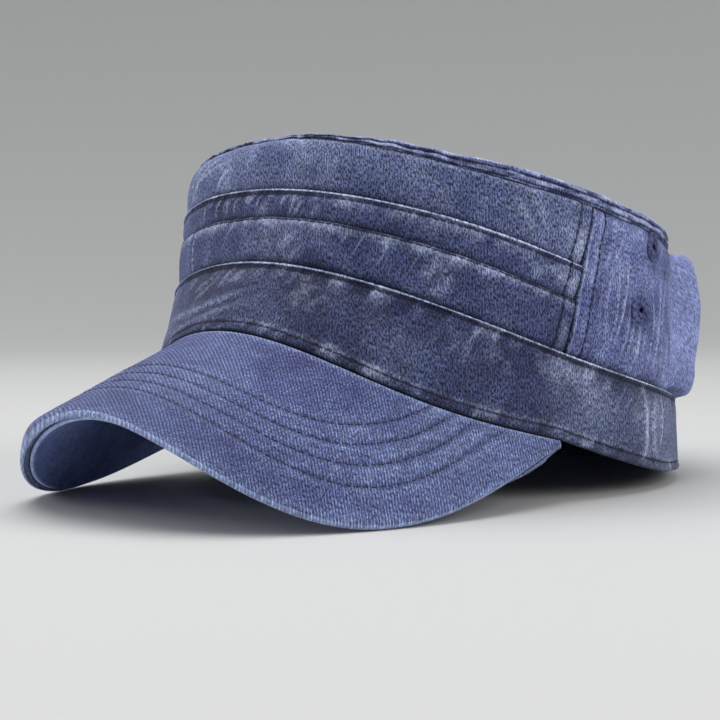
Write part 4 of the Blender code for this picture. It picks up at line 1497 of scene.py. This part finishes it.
    def embroider(self, eyelet: Eyelet, word: str, spot: Vector, out: Vector) -> None:
        """Makes an eyelet: a padded ring wrapped in close radial stitches.

        Args:
            eyelet: which eyelet.
            word: left or right.
            spot: its middle.
            out: the cloth's outward direction there.
        """
        threads, profile = 44, 14
        turn = out.to_track_quat("Z", "Y").to_matrix()
        around = np.linspace(0, 2 * pi, threads * 4, endpoint=False)
        ripple = 0.14 * MM * np.cos(around * threads + 0.7 * np.sin(around * 5))
        wobble = 0.18 * MM * np.sin(around * 3 + 4) + 0.1 * MM * np.sin(around * 7 + 1)
        middle, half = (self.bore_radius + self.rim_radius) / 2, (self.rim_radius - self.bore_radius) / 2
        rows = []
        for i in range(profile):
            lean = 2 * pi * i / profile
            upper = math.sin(lean) > 0
            thick = (0.6 * MM if upper else 1.5 * MM) + (ripple if upper else 0)
            radius = middle - half * math.cos(lean) * (1 if upper else 0.75) + wobble * (1 if upper else 0)
            height = math.sin(lean) * thick + 0.05 * MM
            rows.append(np.stack([radius * np.cos(around), radius * np.sin(around), height + 0 * around], -1))
        points = (np.array(rows) @ np.array(turn).T + np.array(spot)).reshape(-1, 3)
        quads = ring_quads(profile, len(around), len(around))
        mesh = bpy.data.meshes.new(f"eyelet_{word}_{eyelet.name}_ring")
        mesh.from_pydata(points.tolist(), [], quads.tolist())
        mesh.shade_smooth()
        mesh.materials.append(Thread.EYELET.material)
        if turned_in(points, quads):
            mesh.flip_normals()
        piece = placed(mesh.name, mesh)
        self.shop.finish(piece, "thread", f"eyelet_{word}_{eyelet.name}")

    def build(self) -> None:
        """Makes both side panels."""
        self.panel(1)
        self.panel(-1)


@dataclass
class BackPanel:
    """The back panel, puffed out between the band and the welt."""

    shop: Workshop
    columns: int = 360
    pouch_depth: float = 0.0114
    pouch_ramp_deg: float = 10.0
    profile: tuple[tuple[float, float], ...] = (
        (0.0, 0.0), (0.05, 0.60), (0.22, 0.68), (0.34, 0.79), (0.46, 0.88), (0.58, 0.96), (0.70, 1.00),
        (0.88, 1.02), (0.94, 0.96), (0.98, 0.78), (1.0, 0.0),
    )
    creases: tuple[Crease, ...] = (
        Crease(131.0, 0.25, 132.0, 0.80, 1.0, -0.3), Crease(137.0, 0.20, 139.0, 0.75, 1.6, 0.5),
        Crease(142.5, 0.30, 143.5, 0.85, 1.2, -0.3), Crease(150.0, 0.10, 147.0, 0.80, 3.0, 1.0),
        Crease(164.0, 0.15, 166.0, 0.90, 3.0, 0.9), Crease(180.0, 0.10, 178.0, 0.85, 3.6, 1.1),
        Crease(193.0, 0.20, 195.0, 0.90, 3.0, 0.9), Crease(210.0, 0.10, 213.0, 0.80, 3.0, 1.0),
        Crease(223.0, 0.15, 221.0, 0.85, 1.6, 0.5),
    )

    def puff(self, angle: Array, share: float) -> Array:
        """How far the panel puffs out.

        Args:
            angle: angles round the head oval.
            share: the share of the wall's height.

        Returns:
            How far it stands out at each angle.
        """
        away = pi - np.abs(pi - angle)
        low, high = (radians(degrees) for degrees in self.shop.form.rear_seam_deg)
        seam = low + (high - low) * share
        ramp = np.clip((away - seam) / radians(self.pouch_ramp_deg), 0, 1)
        ramp = ramp * ramp * (3 - 2 * ramp)
        return self.pouch_depth * ramp * float(np.interp(share, *zip(*self.profile)))

    def ends(self, line: Line) -> Array:
        """The angles of a row's points between the two rear seams."""
        form = self.shop.form
        start = form.seam_angle(form.rear_seam_deg, line) + SEAM_GAP
        return np.linspace(start, 2 * pi - start, self.columns)

    def height(self, part: float, angle: Array) -> Array:
        """Height of a row of the puffed panel, which swells up past the welt's foot near its top."""
        form = self.shop.form
        level = (form.band_top(angle) + 1 * MM) * (1 - part) + (form.welt_foot(angle) - 0.6 * MM) * part
        swell = float(np.interp(part, (0.7, 0.88, 0.94, 0.98), (0.0, 1.6, 3.0, 3.4))) * MM
        return level + swell * np.sqrt(np.clip(self.puff(angle, part) / self.pouch_depth, 0, 1))

    def build(self) -> None:
        """Makes the back panel."""
        form = self.shop.form
        low, high = form.band_top, form.welt_foot
        tucked = -form.band_wall - form.gap
        # The dark marks at the foot are painted shade, under the band's fold
        stations = [Station(low, -3.0 * MM, tucked, 0.0, 0.9), Station(low, 0.1 * MM, tucked, 0.0, 0.85)]
        stations.append(Station(low, 0.9 * MM, 0.75 * tucked, 0.0, 0.4))
        for part in (0.05, 0.12, 0.22, 0.34, 0.46, 0.58, 0.7, 0.8, 0.88, 0.94, 0.98):
            line = functools.partial(self.height, part)
            slack = tucked * max(1 - part / 0.1, 0) - 1.2 * MM * max((part - 0.95) / 0.05, 0)
            stations.append(Station(line, 0.0, self.puff(self.ends(line), part) + slack))
        # Painted shade where the panel runs in under the welt
        stations += on_line(high, (-0.5, 0.4, 0.0, 0.3), (0.4, -1.7, 0.0, 0.8), (2.6, -1.75, 0.0, 0.8))
        sheet = ClothSheet(form, stations, self.ends, 1.2 * MM)
        sheet.slacken(self.shop.noise(61), 0.6 * MM)
        sheet.crease(self.creases)
        sheet.cloud(self.shop.noise(63), 12 * MM, 0.25, 0.35)
        # Paler towards the wearer's left seam: painted light, for the light that falls on that side from
        # behind
        sheet.mark(0.16 * fade_deg(-sheet.angle, -160, -140))
        hang = self.puff(sheet.angle, 0.1) / self.pouch_depth
        sheet.points[..., 2] -= 2.6 * MM * hang * hill(sheet.share() - 0.13, 0.09)
        inner = []
        for station in stations[::-2]:
            thick = 1.3 * MM + 0.5 * MM * (station.stand > 2 * MM)
            inner.append(replace(station, stand=station.stand - thick))
        piece = self.shop.solid("back_cloth", sheet, inner, Cloth.BACK.material, False)
        self.shop.finish(piece, "worn_twill", "back_panel")


@dataclass
class CrownTop:
    """The flat top and the double-stitched welt round its edge."""

    shop: Workshop
    columns: int = 900
    sag: float = 0.0020
    top_wall: float = 0.0014
    reach: float = 0.085  # The top's radius, about

    def welt(self) -> None:
        """Makes the welt: a pale edge, and two grooves of stitches with a worn ridge between them; painted
        shade lies in the grooves and where the welt turns in.
        """
        form, noise = self.shop.form, self.shop.noise(71)
        angle = np.linspace(-pi, pi, self.columns, endpoint=False)
        inset = 3.2 * MM * form.softness(angle)
        stations = []
        # Rows: rise and stand in millimetres, pale and dark marks, and whether stitched; the dark marks are
        # painted shade
        for rise, stand, wear_and_painted_light, dark, stitched in (
            (-4.9, -1.20, 0.0, 0.9, False), (-4.7, -0.45, 0.0, 0.8, False), (-4.3, -0.10, 0.2, 0.3, False),
            (-3.9, -0.22, 0.0, 0.8, True), (-3.2, 0.18, 0.30, 0.0, False), (-2.6, 0.24, 0.34, 0.0, False),
            (-2.0, 0.05, 0.1, 0.45, False), (-1.65, -0.12, 0.0, 0.65, True), (-1.1, 0.15, 0.20, 0.0, False),
            (-0.5, 0.15, 0.36, 0.0, False), (-0.05, -0.35, 0.4, 0.0, False), (0.05, -0.90, 0.2, 0.0, False),
            (-0.3, -1.35, 0.0, 0.4, False),
        ):
            line = functools.partial(self.welt_line, rise * MM)
            stations.append(Station(line, 0.0, stand * MM - inset, wear_and_painted_light, dark, stitched))
        sheet = ClothSheet(form, stations, lambda _: angle, 0.5 * MM)
        streaks = noise(sheet.along, sheet.across, 6 * MM, 0.7 * MM)
        streaks += 0.6 * noise(sheet.along, sheet.across + 0.3, 2.2 * MM, 1.1 * MM)
        sheet.move_out(0.14 * MM * streaks)
        sheet.wear_and_painted_light = np.clip(sheet.wear_and_painted_light * (0.75 + 0.6 * streaks) + 0.45 * np.clip(streaks, 0, 1), 0, 1)
        sheet.mark(0, 0.55 * np.clip(-streaks, 0, 1))
        # Less painted shade and fewer dark streaks where the edge is worn round
        sheet.dark *= 1 - 0.7 * form.softness(sheet.angle)
        sheet.pucker(self.shop.noise(72), 0.22 * MM, 1.0 * MM)
        level = 0 * sheet.across
        lumps = 0.30 * MM * noise(sheet.along, level, 13 * MM)
        lumps += 0.16 * MM * noise(sheet.along, level + 0.4, 5 * MM)
        sheet.points[..., 2] += lumps
        lines = [functools.partial(self.welt_line, rise * MM) for rise in (-1.0, -2.5, -4.6)]
        inner = [Station(line, 0.0, -form.welt_wall - inset) for line in lines]
        raised = np.multiply.outer(lumps[0], (0, 0, 1))
        piece = self.shop.solid("welt_cloth", sheet, inner, Cloth.SIDE.material, True, raised)
        self.shop.finish(piece, "worn_twill", "crown_welt")
        self.shop.sew_rows("welt_stitches", self.shop.sheet_rows(sheet, True))

    def welt_line(self, rise: float, angle: Array) -> Array:
        """Height of a line on the welt that lies this far above the top edge where all the welt shows."""
        form = self.shop.form
        return form.worn_top(angle) + rise * form.welt_show(angle)

    def top(self) -> None:
        """Makes the flat top, which sags a little inside the welt."""
        form = self.shop.form
        angle = np.linspace(-pi, pi, 360, endpoint=False)
        inset = form.welt_wall + 0.1 * MM + 3.2 * MM * form.softness(angle)
        rim = form.wall(angle, form.worn_top(angle) - form.gap, -inset)
        front_and_back = np.array([0.0, pi])
        ends = form.wall(front_and_back, form.worn_top(front_and_back) - form.gap, -form.welt_wall)
        slope = (ends[1][2] - ends[0][2]) / (ends[1][1] - ends[0][1])
        noise = self.shop.noise(81)
        upper = []
        shares = np.concatenate([[0.001], np.linspace(0.02, 0.9, 34), np.linspace(0.915, 1.0, 14)])
        for share in shares:
            ring = rim * share
            plane = ends[0][2] + slope * (ring[:, 1] - ends[0][1])
            droop = rim[:, 2] - ends[0][2] - slope * (rim[:, 1] - ends[0][1])
            x, y = ring[:, 0] + 0.3, ring[:, 1] + 0.3
            waves = noise(x, y, 30 * MM) + 0.5 * noise(x, y, 12 * MM) + 0.25 * noise(x, y, 5 * MM)
            crimp = 0.5 * MM * hill((1 - share) * self.reach, 3 * MM) * (share < 1)
            crimp = crimp * noise(form.run(angle), 0 * angle, 5 * MM)
            plane += droop * share**2 - self.sag * (1 - share**2)
            ring[:, 2] = plane + 0.5 * MM * (1 - share**6) * waves + crimp
            upper.append(ring)
        lower = [ring - np.array([0, 0, self.top_wall]) for ring in [*upper[:0:-3], upper[0]]]
        grid = np.concatenate([np.array(upper), np.array(lower)])
        worn = np.concatenate([fade(shares, 0.93, 1.0) * 0.35, np.zeros(len(lower))])
        wear_and_painted_light = np.repeat(worn[:, None], len(angle), axis=1)
        along, across = grid[..., 0], grid[..., 1]
        piece = self.shop.loft("top_cloth", grid, wear_and_painted_light, 0 * wear_and_painted_light, along, across, Cloth.CROWN.material, True)
        self.shop.finish(piece, "washed_twill", "top_panel")

    def build(self) -> None:
        """Makes the welt and the top."""
        self.welt()
        self.top()


@dataclass
class Peak:
    """The arched peak: a stitched cover that wraps over the board's edge, and a dark lining under it."""

    shop: Workshop
    columns: int = 420
    rows: int = 64
    row_reach: tuple[float, ...] = (61.3 * MM, 65.3 * MM, 69.2 * MM, 73.1 * MM)
    row_length: tuple[float, ...] = (61.5 * MM, 66.5 * MM, 71.5 * MM, 76.5 * MM)
    row_middle: float = -0.060
    row_squareness: float = 2.5
    steepness: float = 1.18  # How much longer the sloping cloth is than its plan, ahead

    def plan(self, turn: Array, inset: float = 0.0) -> tuple[Array, Array]:
        """The peak's seam and outer edge in plan.

        Args:
            turn: angles from the right corner, -90 degrees, to the left one.
            inset: how far in the edge lies from the cover's.

        Returns:
            Points of the seam and of the edge.
        """
        form = self.shop.form
        corner_angle = radians(form.peak_corner_deg)
        corner = form.wall(np.array(corner_angle), np.array(0.0), form.peak_corner_width + form.gap)
        seam_turn = turn * corner_angle / (pi / 2)
        seam = form.wall(seam_turn, 0.0 * turn, form.gap)[..., :2]
        forward, aside = np.cos(turn), np.sin(turn)
        flare = np.sin(np.pi / 2 * np.clip(forward / form.peak_flare_share, 0, 1))
        half_width = corner[0] + (form.peak_width / 2 - corner[0]) * flare
        reach = form.crown_length / 2 + form.peak_length + corner[1]
        power = 2 / form.peak_squareness
        edge_x = half_width * np.sign(aside) * np.abs(aside) ** power
        edge_y = corner[1] - reach * np.abs(forward) ** power
        edge = np.stack([edge_x, edge_y], -1)
        width = np.linalg.norm(edge - seam, axis=-1)[..., None]
        return seam, edge - (edge - seam) * np.clip(inset / width, 0, 0.5)

    def slope(self, x: Array, y: Array) -> tuple[Array, Array]:
        """How much the top skin rises along X and along Y."""
        form, step = self.shop.form, 1e-5
        along_x = (form.peak_height(x + step, y) - form.peak_height(x - step, y)) / (2 * step)
        along_y = (form.peak_height(x, y + step) - form.peak_height(x, y - step)) / (2 * step)
        return along_x, along_y

    def normal(self, x: Array, y: Array) -> Array:
        """The top skin's outward normal."""
        slope_x, slope_y = self.slope(x, y)
        normal = np.stack([-slope_x, -slope_y, np.ones_like(x)], -1)
        return normal / np.linalg.norm(normal, axis=-1, keepdims=True)

    def skin(self, turn: Array, shares: Array, depth: float, inset: float = 0.0) -> Array:
        """A grid of points below the top skin.

        Args:
            turn: the columns, from the right corner to the left one.
            shares: the rows, from the seam, 0, to the edge, 1.
            depth: how deep below the top skin they lie.
            inset: how far in the edge lies from the cover's.

        Returns:
            Rows by columns of points in the upright frame.
        """
        form = self.shop.form
        seam, edge = self.plan(turn, inset)
        thin = self.thinning(turn)
        rows = []
        for out in shares:
            plan = seam + (edge - seam) * out
            x, y = plan[:, 0], plan[:, 1]
            slope_x, slope_y = self.slope(x, y)
            steep = np.sqrt(1 + slope_x**2 + slope_y**2)
            fullness = np.maximum(thin - form.peak_corner_thinning, 0) / (1 - form.peak_corner_thinning)
            x = x + slope_x / steep * depth * thin * out * fullness
            y = y + slope_y / steep * depth * thin * out * fullness
            slope_x, slope_y = self.slope(x, y)
            steep = np.sqrt(1 + slope_x**2 + slope_y**2)
            rows.append(np.stack([x, y, form.peak_height(x, y) - depth * thin * steep], -1))
        return np.array(rows)

    def thinning(self, turn: Array) -> Array:
        """How thick the peak is at each column, as a share of its full thickness."""
        form = self.shop.form
        seam, edge = self.plan(turn)
        width = np.linalg.norm(edge - seam, axis=-1)
        thick = form.peak_cover_wall + form.gap + form.peak_lining_wall
        fullness = fade(width, form.peak_corner_width, form.peak_corner_width + 3 * thick)
        tapered = 0.35 + 0.65 * fade(pi / 2 - np.abs(turn), 0.0, 0.16)
        return (form.peak_corner_thinning + (1 - form.peak_corner_thinning) * fullness) * tapered

    def stitch_line(self, number: int, turn: Array) -> Array:
        """Points in plan of one of the four rows of stitches, from right to left."""
        power = 2 / self.row_squareness
        x = self.row_reach[number] * np.sign(np.sin(turn)) * np.abs(np.sin(turn)) ** power
        y = self.row_middle - self.row_length[number] * np.abs(np.cos(turn)) ** power
        return np.stack([x, y], -1)

    def from_stitches(self, x: Array, y: Array, number: int) -> Array:
        """About how far outside a row of stitches each point lies.

        Args:
            x: the points' X.
            y: their Y.
            number: which row, from the inmost, 0.

        Returns:
            The distances, below 0 inside the row.
        """
        reach, length, q = self.row_reach[number], self.row_length[number], self.row_squareness
        across, ahead = np.abs(x) / reach, np.maximum(self.row_middle - y, 0) / length
        value = across**q + ahead**q
        slope = q * np.hypot(across ** (q - 1) / reach, ahead ** (q - 1) / length)
        return (value - 1) / np.maximum(slope, 1e-6)

    def cover(self) -> None:
        """Makes the cover, whose cloth is drawn down along the stitches and wraps over the board's edge."""
        form, noise = self.shop.form, self.shop.noise(91)
        turn = np.linspace(-pi / 2, pi / 2, self.columns)
        thin = self.thinning(turn)
        radius = form.peak_cover_wall / 2 * thin
        seam, edge = self.plan(turn)
        width = np.linalg.norm(edge - seam, axis=-1)
        last = 1 - np.clip(radius / width, 0, 0.45)
        shares = np.linspace(0, 1, self.rows)
        grid = []
        for share in shares:
            out = share * last
            plan = seam + (edge - seam) * out[:, None]
            grid.append(np.stack([plan[:, 0], plan[:, 1], form.peak_height(plan[:, 0], plan[:, 1])], -1))
        top = np.array(grid)
        x, y = top[..., 0], top[..., 1]
        normal, lift = self.normal(x, y), self.swell(noise, x, y)
        # Paler towards the wearer's right wing: painted light, where that wing catches more light
        wear_and_painted_light = 0.10 * np.clip(noise(x + 0.2, y + 0.7, 30 * MM), 0, 1) + 0.36 * fade(-x, 22 * MM, 74 * MM)
        dark = 0.22 * fade(-y, 105 * MM, 140 * MM) * fade(x, -30 * MM, 0.0)
        for number in range(4):
            away = self.from_stitches(x, y, number)
            wave = noise(x * 1.3 + 0.2, y + 0.1 * number, 4 * MM)
            groove = hill(away, 0.55 * MM)
            lift -= 0.22 * MM * groove
            lift += 0.10 * MM * hill(np.abs(away) - 1.7 * MM, 1.0 * MM) * (1 + 0.6 * wave)
            # Painted shade in the stitch groove
            dark += 0.35 * groove
            wear_and_painted_light += 0.10 * hill(np.abs(away) - 1.3 * MM, 0.7 * MM) * (1 + wave)
        fullness = fade(width, 1.5 * MM, 12 * MM)[None]
        lift *= fullness * fade(shares, 0.0, 0.06)[:, None] * fade(1 - shares, 0.0, 0.03)[:, None]
        near_edge = (1 - shares[:, None]) * width[None]
        # The edge is worn pale, and paler still towards the wearer's right wing: painted light
        edge_wear_and_light = 0.14 + 0.30 * fade(-x, 20 * MM, 66 * MM)
        wear_and_painted_light += edge_wear_and_light * fullness * hill(near_edge, 2.4 * MM) * (0.8 + 0.4 * noise(x + 0.5, y, 9 * MM))
        wear_and_painted_light += 0.35 * fullness * hill(shares[:, None] * width[None], 0.9 * MM)
        top = top + normal * lift[..., None]
        outward = top[-1] - top[-2]
        outward /= np.maximum(np.linalg.norm(outward, axis=-1, keepdims=True), 1e-9)
        centre = top[-1] - normal[-1] * radius[:, None]
        roll = []  # The edge's half-round, from the top skin to the underside
        for i in range(1, 9):
            lean = pi * i / 8
            roll.append(centre + radius[:, None] * (normal[-1] * math.cos(lean) + outward * math.sin(lean)))
        inward = np.concatenate([[0.985, 0.965, 0.95, 0.93], np.linspace(0.9, 0, 10)])
        under = self.skin(turn, inward, form.peak_cover_wall, 0.0)
        rows = np.concatenate([top, np.array(roll), under])
        fades = np.concatenate([np.linspace(0.55, 0.62, 8), [0.50, 0.36, 0.2], np.zeros(11)])[:, None]
        wear_and_painted_light = np.concatenate([np.clip(wear_and_painted_light, 0, 1), np.repeat(fades, self.columns, axis=1)])
        shade = np.concatenate([np.zeros(10), [0.5], np.full(11, 0.95)])[:, None]
        dark = np.concatenate([np.clip(dark, 0, 1), np.repeat(shade, self.columns, axis=1)])
        self.shop.finish(self.lay("peak_cloth", rows, wear_and_painted_light, dark, Cloth.PEAK), "worn_twill", "peak_cover")
        self.sew(noise)

    @staticmethod
    def swell(noise: SmoothNoise, x: Array, y: Array) -> Array:
        """How far the cover stands off its board: soft waves, and fuller on the wearer's right."""
        waves = 0.35 * MM * noise(x + 0.4, y + 0.4, 24 * MM) + 0.12 * MM * noise(x + 0.4, y + 0.4, 9 * MM)
        full = 2.2 * MM * hill(x + 32 * MM, 27 * MM) * fade(-y, 96 * MM, 124 * MM)
        return waves + full * fade(y, -168 * MM, -140 * MM)

    def sew(self, noise: SmoothNoise) -> None:
        """Sews the four rows of stitches on the cover."""
        form = self.shop.form
        rows = []
        for number in range(4):
            line = self.stitch_line(number, np.radians(np.linspace(-86, 86, 400)))
            radius = np.hypot(line[:, 0], line[:, 1])
            angle = np.arctan2(line[:, 0], -line[:, 1])
            keep = radius > form.oval_radius(angle) + 1.5 * MM
            x, y = line[keep, 0], line[keep, 1]
            normal, lift = self.normal(x, y), self.swell(noise, x, y) - 0.20 * MM
            points = np.stack([x, y, form.peak_height(x, y)], -1) + normal * lift[:, None]
            rows.append((points, normal))
        self.shop.sew_rows("peak_stitches", rows, pitch=2.75 * MM, length=2.0 * MM, radius=0.2 * MM)

    def lining(self) -> None:
        """Makes the lining, a rounded edge set in from the cover's."""
        form = self.shop.form
        turn = np.linspace(-pi / 2, pi / 2, self.columns)
        shares = np.concatenate([np.linspace(0, 0.93, 20), [0.96, 0.98, 0.99, 1.0]])
        above, inset = form.peak_cover_wall + form.gap, form.peak_lining_inset + 1.9 * MM
        upper = self.skin(turn, shares, above, inset)
        lower = self.skin(turn, shares, above + form.peak_lining_wall, inset)
        middle = self.skin(turn, np.array([1.0]), above + form.peak_lining_wall / 2, inset - 0.5 * MM)
        noise = self.shop.noise(95)
        free = (fade(1 - shares, 0.0, 0.1) * fade(shares, 0.0, 0.1))[:, None]
        lower[..., 2] += 0.25 * MM * noise(lower[..., 0] + 0.4, lower[..., 1] + 0.4, 14 * MM) * free
        rows = np.concatenate([lower, middle, upper[::-1]])
        near = (1 - np.concatenate([shares, [1.0], shares[::-1]]))[:, None] * 45 * MM
        wear_and_painted_light = np.repeat(0.55 * hill(near, 0.45 * MM), self.columns, axis=1)
        piece = self.lay("peak_lining_cloth", rows, wear_and_painted_light, 0 * wear_and_painted_light, Cloth.LINING)
        self.shop.finish(piece, "dark_twill", "peak_lining")

    def lay(self, name: str, rows: Array, wear_and_painted_light: Array, dark: Array, cloth: Cloth) -> Object:
        """Skins one of the peak's two cloths.

        Args:
            name: the object's name.
            rows: its points.
            wear_and_painted_light: how pale each is, from worn cloth and from painted light.
            dark: how dark each is, from dye and from painted shade.
            cloth: what it is made of.

        Returns:
            The cloth.
        """
        along, across = rows[..., 0], -self.steepness * rows[..., 1]
        return self.shop.loft(name, rows, wear_and_painted_light, dark, along, across, cloth.material, False)

    def build(self) -> None:
        """Makes the peak."""
        self.cover()
        self.lining()


@dataclass
class Studio:
    """A pale floor that sweeps up all round, soft lights and the camera."""

    lens: float = 86.56
    azimuth_deg: float = 41.74
    elevation_deg: float = 2.95
    roll_deg: float = -0.49
    eye: tuple[float, float, float] = (0.3940, -0.4491, 0.0739)

    def floor(self) -> None:
        """Makes the floor, a shallow bowl with a flat middle."""
        flat, bend, sides = 1.1, 1.4, 96
        profile = [(0.0, 0.0), (0.5, 0.0), (flat, 0.0)]
        for lean in np.radians(np.arange(6, 91, 6)):
            profile.append((flat + bend * math.sin(lean), bend - bend * math.cos(lean)))
        profile.append((flat + bend, 2.6))
        around = np.linspace(0, 2 * pi, sides, endpoint=False)
        points, faces = [(0.0, 0.0, 0.0)], []
        for radius, height in profile[1:]:
            points += [(radius * math.cos(a), radius * math.sin(a), height) for a in around]
        faces += [(0, 1 + i, 1 + (i + 1) % sides) for i in range(sides)]
        for ring in range(len(profile) - 2):
            low, high = 1 + ring * sides, 1 + (ring + 1) * sides
            for i in range(sides):
                faces.append((low + i, high + i, high + (i + 1) % sides, low + (i + 1) % sides))
        mesh = bpy.data.meshes.new("studio_floor")
        mesh.from_pydata(points, [], faces)
        mesh.shade_smooth()
        material = bpy.data.materials.new("matt_paper")
        material.use_nodes = True
        shader = material.node_tree.nodes["Principled BSDF"]
        shader.inputs["Base Color"].default_value = linear("#C9C9C8")
        shader.inputs["Roughness"].default_value = 0.95
        mesh.materials.append(material)
        floor = placed("studio_floor", mesh)
        floor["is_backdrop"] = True

    def light(self, name: str, place: tuple[float, float, float], size: float, power: float) -> None:
        """Adds a soft, white, square light that looks at the cap.

        Args:
            name: its name.
            place: where it hangs.
            size: its width.
            power: its strength in watts.
        """
        lamp = bpy.data.lights.new(name, "AREA")
        lamp.size = size
        lamp.energy = power
        lamp.color = linear("#FFFFFF")[:3]
        body = placed(name, lamp)
        body.location = place
        body.rotation_euler = (Vector((0, 0, 0.05)) - Vector(place)).to_track_quat("-Z", "Y").to_euler()

    def lights(self) -> None:
        """Hangs a wide soft light overhead, one on the wearer's left and a weak one at the front."""
        self.light("overhead", (-0.2, -0.1, 1.3), 1.2, 14.0)
        self.light("left_side", (1.2, 0.35, 0.7), 0.8, 8.0)
        self.light("right_front", (-1.0, -0.9, 0.6), 0.7, 5.0)
        world = bpy.data.worlds.new("studio")
        world.use_nodes = True
        world.node_tree.nodes["Background"].inputs["Color"].default_value = linear("#EDEFF4")
        world.node_tree.nodes["Background"].inputs["Strength"].default_value = 0.6
        bpy.context.scene.world = world
        bpy.context.scene.view_settings.view_transform = "Standard"

    def camera(self) -> None:
        """Places the camera as it stood for the photograph."""
        azimuth, elevation = radians(self.azimuth_deg), radians(self.elevation_deg)
        level = math.cos(elevation)
        back = Vector((math.sin(azimuth) * level, -math.cos(azimuth) * level, math.sin(elevation)))
        right = Vector((math.cos(azimuth), math.sin(azimuth), 0))
        up = back.cross(right)
        roll = radians(self.roll_deg)
        right, up = right * math.cos(roll) + up * math.sin(roll), up * math.cos(roll) - right * math.sin(roll)
        turn = Matrix((right, up, back)).transposed()
        lens = bpy.data.cameras.new("photo_camera")
        lens.lens = self.lens
        lens.sensor_width = 36.0
        lens.clip_start = 0.01
        eye = placed("photo_camera", lens)
        eye.matrix_world = Matrix.Translation(self.eye) @ turn.to_4x4()
        bpy.context.scene.camera = eye

    def build(self) -> None:
        """Sets up the floor, the lights and the camera."""
        self.floor()
        self.lights()
        self.camera()


def as_lists(box: object) -> list:
    """A box as plain lists of numbers."""
    return [[float(value) for value in corner] for corner in box]


def main() -> list:
    """Builds the cap and the studio.

    Returns:
        The box of the solids, as plain lists.
    """
    logging.basicConfig(level=logging.INFO, format="%(message)s")
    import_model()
    solids = as_lists(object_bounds())
    form = CapForm()
    shop = Workshop(form, StitchMaker().tree(), lambda seed: SmoothNoise(seed, form.girth))
    assemblies = [make(shop) for make in (Band, FrontStrips, SidePanels, BackPanel, CrownTop, Peak)]
    for assembly in (*assemblies, Studio()):
        LOG.info("making %s", type(assembly).__name__)
        assembly.build()
    return solids


if __name__ == "__main__":
    solids_box = main()
